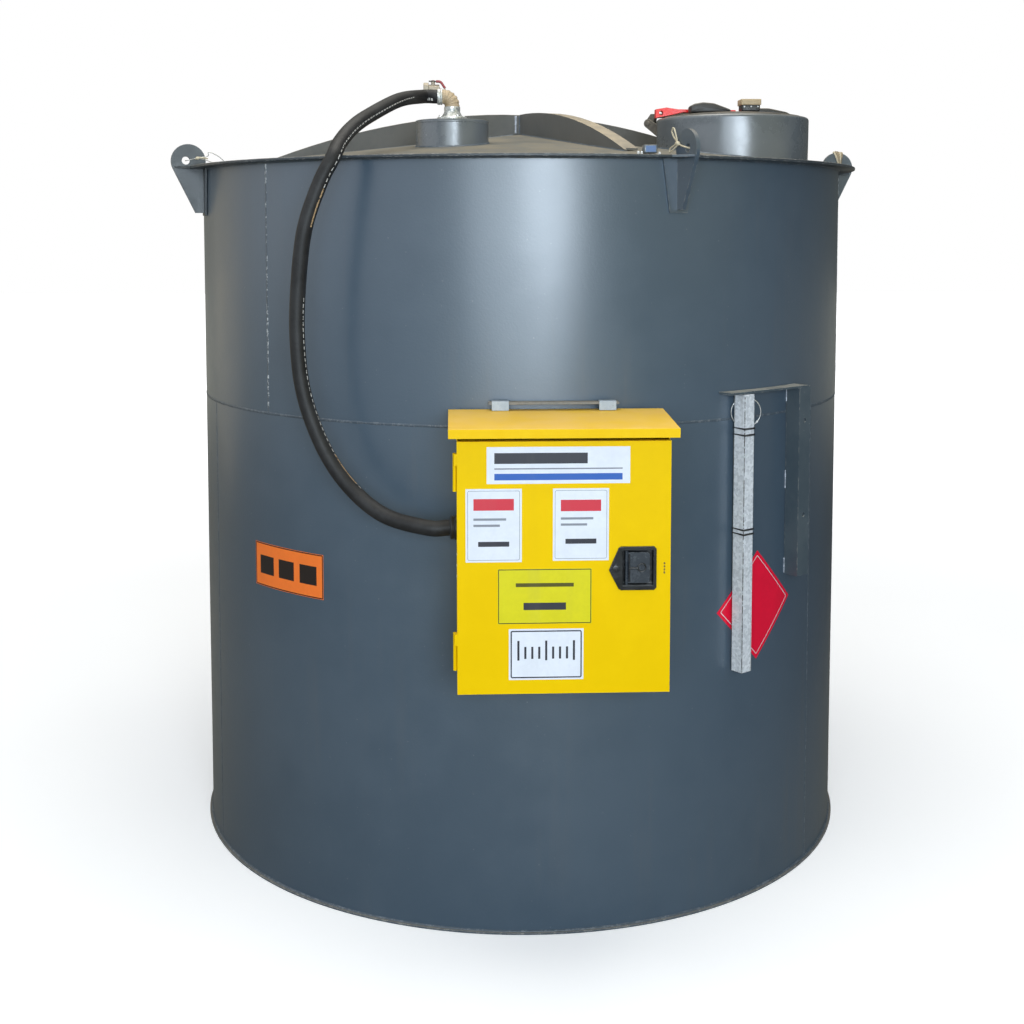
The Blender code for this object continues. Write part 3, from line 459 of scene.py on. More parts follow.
def tube(name: str, path: Array, radius: float | Array, sides: int = 16,
         closed: bool = False, hint: Point = (0.0, -0.9, 0.45)) -> Thing:
    """Carry a circle along a path.

    A point is the path's point plus the radius times (cos, sin) on the side and
    top directions, the side being the path's direction crossed with the hint.

    Args:
        name: the piece's name.
        path: (n, 3) points.
        radius: one radius, or one for each point.
        sides: points round the circle.
        closed: True joins the last point to the first.
        hint: a direction that the path never runs along.

    Returns:
        The new object, with the lengths along and round it as its UV map.
    """
    radii = np.broadcast_to(radius, (len(path),)).astype(float)
    ahead = directions(path, closed)
    if not closed:
        path, ahead = (np.concatenate([part[:1], part, part[-1:]]) for part in (path, ahead))
        radii = np.concatenate([[0.0], radii, [0.0]])
    side = unit(np.cross(ahead, hint))
    top = np.cross(side, ahead)
    turn = round_turn(sides)
    grid = (path[:, None] + radii[:, None, None]
            * (np.cos(turn)[None, :, None] * side[:, None]
               + np.sin(turn)[None, :, None] * top[:, None]))
    along = walked(np.concatenate([path, path[:1]]) if closed else path)
    uvs = grid_uvs(along, np.linspace(0.0, 1.0, sides + 1))
    return mesh_thing(name, grid, grid_faces(len(path), sides, closed, True), uvs)


def swept(name: str, path: Array, section: Array, hint: Point) -> Thing:
    """Carry a flat outline along a path.

    A point is the path's point plus the outline's (x, y) on the side and top
    directions, the side being the path's direction crossed with the hint.

    Args:
        name: the piece's name.
        path: (n, 3) points.
        section: (m, 2) outline round the path.
        hint: a direction that the path never runs along.

    Returns:
        The new object.
    """
    ahead = directions(path)
    side = unit(np.cross(ahead, hint))
    top = np.cross(side, ahead)
    rows = (path[:, None] + section[None, :, :1] * side[:, None]
            + section[None, :, 1:] * top[:, None])
    ends = [np.broadcast_to(point, (1, len(section), 3)) for point in (path[0], path[-1])]
    grid = np.concatenate([ends[0], rows, ends[1]])
    return mesh_thing(name, grid, grid_faces(len(grid), len(section), False, True))


def bead(name: str, path: Array, out: Array, half: float, height: float,
         pitch: float = 0.006, closed: bool = False, seed: int = 1) -> Thing:
    """A run of weld along a path.

    Each row is a flattened half circle across the path, on the side direction
    (out crossed with the way along) and the out direction. Its half width and
    height swell with a sine of the length and a slow random walk.

    Args:
        name: the piece's name.
        path: (n, 3) points on the surface.
        out: (n, 3) unit directions away from it.
        half: half the bead's width.
        height: how far it stands out.
        pitch: length of one ripple.
        closed: True joins the last point to the first.
        seed: which random walk.

    Returns:
        The new object, with its UV map along and across.
    """
    side = unit(np.cross(out, directions(path, closed)))
    along = walked(path)
    rng = np.random.default_rng(seed)
    knots = np.linspace(0.0, along[-1], max(4, int(along[-1] / 0.02)))
    drift = np.interp(along, knots, rng.normal(0.0, 0.10, len(knots)))
    ripple = np.sin(2 * np.pi * along / pitch)
    wide = half * (1.0 + 0.10 * ripple + drift)
    tall = height * (1.0 + 0.16 * ripple + drift)
    turn = np.linspace(0.0, np.pi, 7)
    grid = (path[:, None] - out[:, None] * 0.0004
            + side[:, None] * wide[:, None, None] * np.cos(turn)[None, :, None]
            + out[:, None] * tall[:, None, None] * np.sin(turn)[None, :, None])
    if closed:
        lines = np.append(along, 2 * along[-1] - along[-2])
    else:
        grid = np.concatenate([np.broadcast_to(path[0], (1, 7, 3)), grid,
                               np.broadcast_to(path[-1], (1, 7, 3))])
        lines = np.concatenate([[0.0], along, along[-1:]])
    uvs = grid_uvs(lines, np.linspace(0.0, 1.0, 8))
    return mesh_thing(name, grid, grid_faces(len(grid), 7, closed, True), uvs)


def straight_bead(name: str, ends: Array, count: int, out: Array, half: float, height: float,
                  pitch: float, seed: int) -> Thing:
    """A run of weld between two points, with one direction away from the surface."""
    path = np.linspace(*ends, count)
    return bead(name, path, np.broadcast_to(out, path.shape), half, height, pitch, seed=seed)


def softened(node: str, name: str, edge: float, segments: int = 2) -> Thing:
    """A copy of a CAD node with its doubles merged and its edges rounded.

    Args:
        node: the CAD node's name.
        name: the new piece's name.
        edge: width of the rounding.
        segments: faces across it.

    Returns:
        The new object, with a live Bevel modifier where edge is above zero.
    """
    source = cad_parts[node].data
    points = np.empty(len(source.vertices) * 3, np.float32)
    source.vertices.foreach_get("co", points)
    mesh = bpy.data.meshes.new(name)
    mesh.from_pydata(points.reshape(-1, 3).tolist(), [],
                     [tuple(face.vertices) for face in source.polygons])
    work = bmesh.new()
    work.from_mesh(mesh)
    bmesh.ops.remove_doubles(work, verts=work.verts, dist=CAD_MERGE)
    bmesh.ops.dissolve_limit(work, angle_limit=FLAT, verts=work.verts, edges=work.edges)
    work.to_mesh(mesh)
    work.free()
    thing = linked(name, shaded(mesh))
    if edge > 0.0:
        bevel = thing.modifiers.new("Rounding", "BEVEL")
        bevel.width = edge
        bevel.segments = segments
        bevel.limit_method = "ANGLE"
        bevel.angle_limit = ROUNDED
        bevel.use_clamp_overlap = True
        bevel.miter_outer = "MITER_ARC"
        bevel.harden_normals = True
    return thing


def cut(thing: Thing, cutter: Thing) -> None:
    """Take one mesh's form out of another for good, and drop the cutter.

    Args:
        thing: the object that is cut.
        cutter: the form taken away.
    """
    step = thing.modifiers.new("Cut", "BOOLEAN")
    step.operation = "DIFFERENCE"
    step.solver = "EXACT"
    step.object = cutter
    seen = thing.evaluated_get(bpy.context.evaluated_depsgraph_get())
    mesh = bpy.data.meshes.new_from_object(seen)
    thing.modifiers.remove(step)
    thing.data = shaded(mesh)
    bpy.data.objects.remove(cutter)


# Node trees

class Graph:
    """Wires one node tree in few words."""

    def __init__(self, tree: bpy.types.NodeTree) -> None:
        """Keep the tree that the nodes go into."""
        self.tree = tree

    def add(self, kind: str, **settings: object) -> bpy.types.Node:
        """Add a node of a kind and set its own properties.

        Args:
            kind: the node's type.
            settings: the node's own properties.

        Returns:
            The node.
        """
        node = self.tree.nodes.new(kind)
        for key, value in settings.items():
            setattr(node, key, value)
        return node

    def feed(self, socket: Socket, value: object) -> None:
        """Link a socket to another, or set its value.

        Args:
            socket: the input.
            value: a socket, a number or a colour.
        """
        if isinstance(value, bpy.types.NodeSocket):
            self.tree.links.new(value, socket)
        elif isinstance(value, tuple) and len(value) == 3 and socket.type == "RGBA":
            socket.default_value = (*value, 1.0)
        else:
            socket.default_value = value

    def run(self, kind: str, given: dict, out: int | str = 0, **settings: object) -> Socket:
        """Add a node, feed its inputs by number or name and give one of its outputs.

        Args:
            kind: the node's type.
            given: inputs and what goes into them.
            out: which output.
            settings: the node's own properties.

        Returns:
            That output.
        """
        node = self.add(kind, **settings)
        for key, value in given.items():
            self.feed(node.inputs[key], value)
        return node.outputs[out]

    def math(self, operation: str, *values: object) -> Socket:
        """The result of a Math node on one to three values."""
        return self.run("ShaderNodeMath", dict(enumerate(values)), operation=operation)

    def product(self, *values: object) -> Socket:
        """All the values multiplied.

        Args:
            values: sockets or numbers.

        Returns:
            Their product.
        """
        total = values[0]
        for value in values[1:]:
            total = self.math("MULTIPLY", total, value)
        return total

    def mix(self, factor: object, first: object, second: object) -> Socket:
        """A colour between two colours."""
        return self.run("ShaderNodeMix", {0: factor, 6: first, 7: second}, 2, data_type="RGBA")

    def fade(self, value: object, low: float, high: float, start: float = 0.0,
             end: float = 1.0) -> Socket:
        """A value that eases from start to end as the input goes from low to high."""
        given = dict(enumerate((value, low, high, start, end)))
        return self.run("ShaderNodeMapRange", given, interpolation_type="SMOOTHSTEP")

    def noise(self, vector: Socket, scale: object, detail: float = 2.0,
              roughness: float = 0.5) -> Socket:
        """A Noise texture's value at a vector."""
        return self.run("ShaderNodeTexNoise", {"Vector": vector, "Scale": scale, "Detail": detail,
                                               "Roughness": roughness})

    def place(self, kind: str = "Object") -> Socket:
        """The piece's own coordinates."""
        return self.add("ShaderNodeTexCoord").outputs[kind]

    def stretch(self, vector: Socket, scale: Point) -> Socket:
        """A vector scaled along each axis."""
        return self.run("ShaderNodeMapping", {"Vector": vector, "Scale": scale})

    def split(self, vector: Socket) -> tuple[Socket, Socket, Socket]:
        """The three parts of a vector.

        Args:
            vector: the one to take apart.

        Returns:
            Its X, Y and Z.
        """
        node = self.add("ShaderNodeSeparateXYZ")
        self.feed(node.inputs[0], vector)
        return tuple(node.outputs)

    def bump(self, height: Socket, strength: float, distance: float) -> Socket:
        """A normal bent by a height."""
        return self.run("ShaderNodeBump", {"Strength": strength, "Distance": distance,
                                           "Height": height})

    def dot(self, first: object, second: object) -> Socket:
        """The dot product of two vectors."""
        return self.run("ShaderNodeVectorMath", {0: first, 1: second}, "Value",
                        operation="DOT_PRODUCT")

    def cells(self, vector: Socket, scale: object) -> dict[str, Socket]:
        """A Voronoi texture's outputs by name.

        Args:
            vector: where it is read.
            scale: cells in a metre, about.

        Returns:
            The outputs.
        """
        node = self.add("ShaderNodeTexVoronoi")
        self.feed(node.inputs["Vector"], vector)
        self.feed(node.inputs["Scale"], scale)
        return {socket.name: socket for socket in node.outputs}

    def between(self, value: Socket, middle: float, half: float) -> Socket:
        """One where a value lies within half of the middle, else nothing."""
        away = self.math("ABSOLUTE", self.math("SUBTRACT", value, middle))
        return self.math("LESS_THAN", away, half)


class Effect(Enum):
    """The shared effects, each a node group with named inputs and one output."""

    BLOTCHES = "blotches"
    DUST = "settled_dust"
    STREAKS = "vertical_runs"
    SPECKS = "paint_specks"
    WEAR = "edge_wear"
    SPANGLE = "zinc_spangle"
    PEEL = "orange_peel"


EFFECT_INPUTS = {
    Effect.BLOTCHES: {"Scale": 1.6, "Contrast": 1.0},
    Effect.DUST: {"Amount": 0.5, "Scale": 9.0},
    Effect.STREAKS: {"Amount": 0.5, "Scale": 16.0},
    Effect.SPECKS: {"Amount": 0.5, "Scale": 60.0, "Size": 0.12},
    Effect.WEAR: {"Amount": 0.5, "Radius": 0.003, "Scale": 60.0},
    Effect.SPANGLE: {"Scale": 90.0},
    Effect.PEEL: {"Scale": 260.0},
}


def effect_group(effect: Effect) -> bpy.types.NodeTree:
    """The node group of a shared effect, built on first use.

    Blotches are two sizes of noise eased to a value. Settled dust is where the
    piece's own normal points up, broken by noise; some finishes use it for a
    painted highlight too. Vertical runs are noise drawn out along Z. Specks are
    Voronoi cells whose random colour passes a limit, near their middles. Edge
    wear is where the Bevel node's normal leaves the true one, broken by noise;
    some finishes use it for a painted highlight or painted shade too. Spangle
    is Voronoi cells' own tone. Orange peel is two fine noises as a height.

    Args:
        effect: which one.

    Returns:
        The group, its output named Value.
    """
    made = bpy.data.node_groups.get(effect.value)
    if made is not None:
        return made
    made = bpy.data.node_groups.new(effect.value, "ShaderNodeTree")
    for name, value in EFFECT_INPUTS[effect].items():
        socket = made.interface.new_socket(name=name, in_out="INPUT",
                                           socket_type="NodeSocketFloat")
        socket.default_value = value
    made.interface.new_socket(name="Value", in_out="OUTPUT", socket_type="NodeSocketFloat")
    graph = Graph(made)
    given = graph.add("NodeGroupInput").outputs
    here = graph.place()
    if effect is Effect.BLOTCHES:
        broad = graph.noise(here, given["Scale"], 3.0, 0.6)
        fine = graph.noise(here, graph.product(given["Scale"], 7.0), 4.0, 0.65)
        both = graph.math("MULTIPLY_ADD", fine, 0.35, graph.product(broad, 0.65))
        value = graph.product(graph.fade(both, 0.38, 0.62), given["Contrast"])
    elif effect is Effect.DUST:
        up = graph.split(graph.place("Normal"))[2]
        broken = graph.noise(here, given["Scale"], 5.0, 0.7)
        value = graph.product(graph.fade(up, 0.25, 0.95), graph.fade(broken, 0.25, 0.70, 0.35, 1.0))
    elif effect is Effect.STREAKS:
        drawn = graph.stretch(here, (1.0, 1.0, 0.045))
        runs = graph.noise(drawn, given["Scale"], 4.0, 0.6)
        gate = graph.noise(here, 1.3, 1.0)
        value = graph.product(graph.fade(runs, 0.52, 0.72), graph.fade(gate, 0.4, 0.65))
    elif effect is Effect.SPECKS:
        cells = graph.cells(here, given["Scale"])
        tone, chance, _ = graph.split(cells["Color"])
        near = graph.math("LESS_THAN", cells["Distance"], graph.product(given["Size"], tone))
        value = graph.product(near, graph.math("GREATER_THAN", chance, 0.80))
    elif effect is Effect.WEAR:
        rounded = graph.run("ShaderNodeBevel", {"Radius": given["Radius"]}, samples=4)
        true = graph.add("ShaderNodeNewGeometry").outputs["Normal"]
        bent = graph.fade(graph.dot(rounded, true), 0.995, 0.90)
        broken = graph.noise(here, given["Scale"], 5.0, 0.7)
        value = graph.product(bent, graph.fade(broken, 0.48, 0.62))
    elif effect is Effect.SPANGLE:
        tone = graph.split(graph.cells(here, given["Scale"])["Color"])[0]
        cloud = graph.noise(here, graph.product(given["Scale"], 0.12), 4.0)
        value = graph.math("MULTIPLY_ADD", tone, 0.45, graph.product(cloud, 0.55))
    else:
        coarse = graph.noise(here, given["Scale"], 2.0)
        fine = graph.noise(here, graph.product(given["Scale"], 4.2), 2.0)
        value = graph.math("MULTIPLY_ADD", fine, 0.3, coarse)
    if "Amount" in EFFECT_INPUTS[effect]:
        value = graph.product(value, given["Amount"])
    graph.feed(graph.add("NodeGroupOutput").inputs["Value"], value)
    return made


def use_effect(graph: Graph, effect: Effect, **values: float) -> Socket:
    """Place a shared effect in a material with its own values."""
    return graph.run("ShaderNodeGroup", values, "Value", node_tree=effect_group(effect))


# Finishes

@dataclass(frozen=True)
class Finish:
    """A surface with a name, made a material on first use."""

    name: str

    def material(self) -> bpy.types.Material:
        """The finish as a material.

        Returns:
            The material, built once.
        """
        found = bpy.data.materials.get(self.name)
        if found is not None:
            return found
        made = bpy.data.materials.new(self.name)
        made.use_nodes = True
        self.wire(Graph(made.node_tree), made.node_tree.nodes["Principled BSDF"].inputs)
        return made

    def wire(self, graph: Graph, shader: Inputs) -> None:
        """Feed the shader's inputs; each kind of finish has its own way."""
        raise NotImplementedError

    def surface(self, graph: Graph, shader: Inputs, colour: Socket, rough: object,
                height: Socket, strength: float, distance: float) -> None:
        """Feed the shader's colour, its roughness and its bumped normal.

        Args:
            graph: the material's graph.
            shader: the shader's inputs.
            colour: the base colour.
            rough: the roughness.
            height: what bends the normal.
            strength: how much of the bend is kept.
            distance: the height of one, in metres.
        """
        graph.feed(shader["Base Color"], colour)
        graph.feed(shader["Roughness"], rough)
        graph.feed(shader["Normal"], graph.bump(height, strength, distance))


@dataclass(frozen=True)
class Paint(Finish):
    """Sprayed paint or powder coat, with dust, runs, specks and worn edges; on some finishes the
    dust and bare-edge tones are also a painted highlight.
    """

    colour: Colour
    faded: Colour
    roughness: float = 0.3
    spread: float = 0.10
    peel: float = 0.14
    peel_scale: float = 260.0
    patch: float = 1.6
    dust: float = 0.0
    dust_and_highlight_colour: Colour = (0.30, 0.26, 0.20)
    runs: float = 0.0
    run_colour: Colour = (0.10, 0.10, 0.09)
    specks: float = 0.0
    speck_colour: Colour = (0.45, 0.46, 0.45)
    wear: float = 0.0
    bare_and_highlight: Colour = (0.20, 0.20, 0.20)
    coat: float = 0.0
    coat_roughness: float = 0.24
    metallic: float = 0.0
    specular: float = 0.5

    def wire(self, graph: Graph, shader: Inputs) -> None:
        """Mix the paint's two tones and lay runs, specks, wear and dust over them; the wear and
        dust tones also paint highlights on some finishes.

        Args:
            graph: the material's nodes.
            shader: its shader's inputs.
        """
        patches = use_effect(graph, Effect.BLOTCHES, Scale=self.patch)
        colour = graph.mix(patches, self.colour, self.faded)
        rough = graph.fade(patches, 0.0, 1.0, self.roughness, self.roughness + self.spread)
        for amount, effect, tone, dull in (
                (self.runs, Effect.STREAKS, self.run_colour, 0.15),
                (self.specks, Effect.SPECKS, self.speck_colour, 0.10),
                (self.wear, Effect.WEAR, self.bare_and_highlight, 0.10),
                (self.dust, Effect.DUST, self.dust_and_highlight_colour, 0.45)):
            if amount > 0.0:
                mask = use_effect(graph, effect, Amount=amount)
                colour = graph.mix(mask, colour, tone)
                rough = graph.math("MULTIPLY_ADD", mask, dull, rough)
        shader["Metallic"].default_value = self.metallic
        shader["Specular IOR Level"].default_value = self.specular
        shader["Coat Weight"].default_value = self.coat
        shader["Coat Roughness"].default_value = self.coat_roughness
        height = use_effect(graph, Effect.PEEL, Scale=self.peel_scale)
        self.surface(graph, shader, colour, rough, height, self.peel, 0.001)


@dataclass(frozen=True)
class Zinc(Finish):
    """Hot-dip galvanised or plated steel with a soft spangle."""

    dark: Colour
    light: Colour
    roughness: float = 0.46
    spangle: float = 150.0
    dust: float = 0.0
    metallic: float = 0.30
    # Strength of the streaks and of the near-black corner lines, which are dirt and painted shade.
    ridge: float = 0.0

    def wire(self, graph: Graph, shader: Inputs) -> None:
        """Mix the two tones by the spangle and lay streaks, dark corner lines and dust over them;
        the corner lines are dirt and painted shade.

        Args:
            graph: the material's nodes.
            shader: its shader's inputs.
        """
        grain = use_effect(graph, Effect.SPANGLE, Scale=self.spangle)
        colour = graph.mix(graph.fade(grain, 0.2, 0.8), self.dark, self.light)
        if self.ridge > 0.0:
            runs = use_effect(graph, Effect.STREAKS, Amount=self.ridge, Scale=60.0)
            colour = graph.mix(runs, colour, (0.36, 0.34, 0.31))
            # Near-black where the surface turns: dirt, and painted shade in the angles' inside
            # corner.
            mask = use_effect(graph, Effect.WEAR, Amount=self.ridge, Radius=0.004, Scale=110.0)
            colour = graph.mix(mask, colour, (0.07, 0.07, 0.07))
        rough = graph.fade(grain, 0.1, 0.9, self.roughness + 0.16, self.roughness)
        if self.dust > 0.0:
            mask = use_effect(graph, Effect.DUST, Amount=self.dust)
            colour = graph.mix(mask, colour, (0.30, 0.26, 0.20))
            rough = graph.math("MULTIPLY_ADD", mask, 0.3, rough)
        shader["Metallic"].default_value = self.metallic
        height = use_effect(graph, Effect.PEEL, Scale=420.0)
        self.surface(graph, shader, colour, rough, height, 0.18, 0.0006)


@dataclass(frozen=True)
class WeldBead(Finish):
    """Painted weld with ripples across it, its crests worn pale."""

    colour: Colour
    crest: Colour
    worn: float = 0.5
    roughness: float = 0.35

    def wire(self, graph: Graph, shader: Inputs) -> None:
        """Break the bead's colour by noise, and ripple it finely.

        Args:
            graph: the material's nodes.
            shader: its shader's inputs.
        """
        here = graph.place()
        broken = graph.fade(graph.noise(here, 70.0, 4.0, 0.7), 0.50, 0.60, 0.0, self.worn)
        rough = graph.fade(broken, 0.0, 1.0, self.roughness, self.roughness + 0.2)
        self.surface(graph, shader, graph.mix(broken, self.colour, self.crest), rough,
                     graph.noise(here, 900.0, 3.0), 0.35, 0.001)


@dataclass(frozen=True)
class HosePrint(Finish):
    """Black hose rubber with a line of pale print and tan stretches in it."""

    def wire(self, graph: Graph, shader: Inputs) -> None:
        """Print the line's bands on the rubber.

        The UV map gives the length along the hose and the share of a turn
        round it. The line is a narrow band of the turn between two lengths:
        short dashes, two tan stripes, and plain blocks near the hose's start.

        Args:
            graph: the material's nodes.
            shader: its shader's inputs.
        """
        along, turn, _ = graph.split(graph.place("UV"))
        colour = graph.mix(use_effect(graph, Effect.BLOTCHES, Scale=9.0),
                           (0.008, 0.008, 0.009), (0.019, 0.019, 0.020))
        away = graph.math("ABSOLUTE", graph.math("SUBTRACT", turn, 0.415))
        worn = graph.fade(graph.noise(graph.place(), 220.0, 3.0), 0.36, 0.48)
        worn = graph.math("MAXIMUM", worn, graph.math("LESS_THAN", along, 0.05))
        pale, tan = (0.62, 0.60, 0.55), (0.50, 0.33, 0.17)
        for half, tone, pitch, share, low, high in (
                (0.011, pale, 0.017, 0.62, 0.165, 0.906), (0.011, pale, 0.017, 0.62, 1.10, 1.70),
                (0.030, pale, 0.0062, 0.62, 0.0065, 0.0310), (0.017, tan, 4.0, 1.0, 0.795, 0.906),
                (0.017, tan, 4.0, 1.0, 1.566, 1.673)):
            band = graph.fade(away, half + 0.003, half)
            step = graph.math("FRACT", graph.math("DIVIDE", along, pitch))
            dashes = graph.math("LESS_THAN", step, share)
            reach = graph.between(along, (low + high) / 2, (high - low) / 2)
            colour = graph.mix(graph.product(band, dashes, reach, worn), colour, tone)
        dusty = use_effect(graph, Effect.DUST, Amount=0.20, Scale=14.0)
        colour = graph.mix(dusty, colour, (0.14, 0.13, 0.115))
        shader["Specular IOR Level"].default_value = 0.32
        wrap = graph.math("SINE", graph.product(along, 1900.0))
        height = graph.math("MULTIPLY_ADD", wrap, 0.12, graph.noise(graph.place(), 480.0, 3.0))
        self.surface(graph, shader, colour, graph.fade(dusty, 0.0, 0.4, 0.54, 0.80), height,
                     0.20, 0.0008)


@dataclass(frozen=True)
class Label(Finish):
    """A printed sticker without words: a ground, a thin frame line and plain bars.

    The piece's own UV map gives the place from the sticker's middle in metres.
    A bar is (across, up, half width, half height, colour) in the same metres.
    """

    ground: Colour
    size: Pair
    line: Colour = (0.03, 0.03, 0.035)
    inset: float = 0.0
    width: float = 0.0
    corner: float = 0.010
    bars: tuple[tuple[float, float, float, float, Colour], ...] = ()
    roughness: float = 0.36

    def frame_line(self, graph: Graph, u: Socket, v: Socket) -> Socket:
        """Where the frame line runs.

        The distance from a rounded rectangle is the length of what |u| and |v|
        have past its straight sides, less the corner's radius. The line is
        where that distance is between the inset and the inset plus the width.

        Args:
            graph: the material's nodes.
            u: metres across from the middle.
            v: metres up from the middle.

        Returns:
            One on the line, else nothing.
        """
        past = [graph.math("MAXIMUM", 0.0, graph.math(
            "SUBTRACT", graph.math("ABSOLUTE", part), side / 2 - self.corner))
            for part, side in zip((u, v), self.size)]
        squares = [graph.product(part, part) for part in past]
        away = graph.math("SQRT", graph.math("ADD", *squares))
        return graph.between(away, self.corner - self.inset - self.width / 2, self.width / 2)

    def wire(self, graph: Graph, shader: Inputs) -> None:
        """Print the bars and the frame line on the ground, under a little grime.

        Args:
            graph: the material's nodes.
            shader: its shader's inputs.
        """
        u, v, _ = graph.split(graph.place("UV"))
        dull = tuple(0.94 * part for part in self.ground)
        colour = graph.mix(use_effect(graph, Effect.BLOTCHES, Scale=14.0), self.ground, dull)
        for across, up, half_wide, half_high, tone in self.bars:
            inside = graph.product(graph.between(u, across, half_wide),
                                   graph.between(v, up, half_high))
            colour = graph.mix(inside, colour, tone)
        if self.width > 0.0:
            colour = graph.mix(self.frame_line(graph, u, v), colour, self.line)
        grime = use_effect(graph, Effect.STREAKS, Amount=0.05)
        shader["Specular IOR Level"].default_value = 0.25
        self.surface(graph, shader, graph.mix(grime, colour, (0.25, 0.23, 0.19)),
                     self.roughness, use_effect(graph, Effect.PEEL, Scale=120.0), 0.05, 0.001)


SLATE = Paint("slate_wall_paint", (0.050, 0.078, 0.109), (0.058, 0.087, 0.119), 0.35, 0.07,
              peel=0.28, peel_scale=150.0, patch=1.3, dust=0.15, runs=0.30,
              run_colour=(0.090, 0.10, 0.11), specks=0.12, coat=0.6)
SLATE_TOP = Paint("slate_roof_paint", (0.050, 0.066, 0.080), (0.066, 0.082, 0.095), 0.34, 0.16,
                  patch=3.0, dust=0.80, dust_and_highlight_colour=(0.225, 0.19, 0.13),
                  specks=0.6)
# Rim paint: the dark base is painted shade on the rim's edge, and its pale dust and bare-edge tones
# are partly real dust and wear, partly a painted highlight along the top edge.
SLATE_RIM_PAINTED_LIGHT_AND_SHADE = Paint("slate_rim_painted_light_and_shade", (0.034, 0.042, 0.050), (0.046, 0.056, 0.064), 0.34, 0.14,
                  patch=6.0, dust=0.85, dust_and_highlight_colour=(0.29, 0.26, 0.21), wear=1.0,
                  bare_and_highlight=(0.52, 0.51, 0.48))
SLATE_RIB = Paint("slate_rib_paint", (0.088, 0.090, 0.086), (0.112, 0.110, 0.102), 0.38, 0.14,
                  patch=5.0, dust=0.95, dust_and_highlight_colour=(0.40, 0.33, 0.23), wear=0.5,
                  bare_and_highlight=(0.30, 0.28, 0.24))
SLATE_IRON = Paint("slate_bracket_paint", (0.048, 0.068, 0.084), (0.064, 0.084, 0.098), 0.46,
                   0.12, patch=6.0, dust=1.0, dust_and_highlight_colour=(0.40, 0.39, 0.34), wear=0.8,
                   bare_and_highlight=(0.36, 0.36, 0.33), specks=0.5)
SLATE_EDGED = Paint("slate_fitting_paint", (0.058, 0.080, 0.102), (0.074, 0.095, 0.115), 0.28,
                    0.12, patch=6.0, dust=0.55, wear=0.75, specks=0.5,
                    bare_and_highlight=(0.34, 0.33, 0.30), coat=0.45)
# A darker copy of the slate paint for the left lug: painted shade that keeps a highlight off it.
SLATE_PAINTED_SHADE = Paint("slate_lug_painted_shade", (0.030, 0.038, 0.044), (0.040, 0.048, 0.054), 0.42, 0.12,
                   patch=14.0, dust=0.40, wear=0.75, specks=0.5,
                   bare_and_highlight=(0.34, 0.33, 0.30), coat=0.15)
# A lighter copy of the slate paint for the neck and the stub: painted light, where sky and sun fall
# on them.
SLATE_PAINTED_SUNLIGHT = Paint("slate_neck_painted_sunlight", (0.090, 0.104, 0.116), (0.110, 0.122, 0.130), 0.24,
                    0.10, patch=5.0, dust=0.50, wear=0.6, specks=0.5,
                    bare_and_highlight=(0.36, 0.35, 0.32), coat=0.5)
SLATE_BASE = Paint("slate_base_paint", (0.055, 0.074, 0.094), (0.074, 0.092, 0.108), 0.34,
                   0.14, patch=9.0, dust=0.55, wear=1.0, bare_and_highlight=(0.46, 0.44, 0.38))
YELLOW = Paint("yellow_powder_coat", (0.83, 0.525, 0.0), (0.86, 0.55, 0.0), 0.38, 0.06,
               peel=0.12, peel_scale=420.0, patch=3.0, runs=0.05, run_colour=(0.60, 0.38, 0.01),
               wear=0.25, bare_and_highlight=(0.80, 0.52, 0.02), dust=0.12, dust_and_highlight_colour=(0.50, 0.38, 0.16),
               specular=0.06)
# Cabinet roof paint: the pale dust tone on its upward faces is partly real dust, partly a painted
# sheen that lightens the roof's top.
YELLOW_TOP_DUST_AND_SHEEN = Paint("yellow_roof_dust_and_painted_sheen", (0.86, 0.52, 0.0), (0.88, 0.55, 0.005), 0.34, 0.08,
                   peel=0.12, peel_scale=420.0, patch=7.0, wear=0.25, bare_and_highlight=(0.92, 0.62, 0.08),
                   dust=0.50, dust_and_highlight_colour=(0.86, 0.58, 0.27), specular=0.08)
BLACK_MOULDED = Paint("black_moulding", (0.014, 0.014, 0.015), (0.030, 0.028, 0.026), 0.36, 0.2,
                      peel=0.30, peel_scale=700.0, patch=20.0, dust=0.45, wear=0.30,
                      bare_and_highlight=(0.10, 0.10, 0.10))
LATCH_BLACK = Paint("latch_moulding", (0.007, 0.008, 0.009), (0.013, 0.014, 0.016), 0.17, 0.06,
                    peel=0.20, peel_scale=900.0, patch=20.0, wear=0.4, bare_and_highlight=(0.07, 0.075, 0.08))
LATCH_SLATE = Paint("latch_plate_paint", (0.014, 0.020, 0.028), (0.024, 0.031, 0.040), 0.20, 0.08,
                    peel=0.25, peel_scale=900.0, patch=24.0, wear=0.5, bare_and_highlight=(0.16, 0.17, 0.18))
RED = Paint("red_lacquer", (0.80, 0.018, 0.014), (0.88, 0.035, 0.022), 0.34, 0.12,
            peel=0.20, peel_scale=600.0, patch=24.0, dust=0.25, wear=0.5, bare_and_highlight=(0.25, 0.05, 0.04))
DARK_RED = Paint("dark_red_lever", (0.24, 0.008, 0.012), (0.34, 0.016, 0.020), 0.34, 0.12,
                 peel=0.20, peel_scale=600.0, patch=24.0, wear=0.6, bare_and_highlight=(0.30, 0.26, 0.24))
TAN = Paint("tan_cap_plastic", (0.40, 0.30, 0.17), (0.50, 0.38, 0.24), 0.52, 0.12,
            peel=0.3, peel_scale=700.0, patch=24.0, dust=0.3)
PALE = Paint("pale_strap_paint", (0.33, 0.38, 0.43), (0.45, 0.50, 0.54), 0.42, 0.14,
             patch=18.0, wear=0.6, bare_and_highlight=(0.15, 0.16, 0.17), specks=0.4,
             speck_colour=(0.12, 0.12, 0.11), specular=0.3)
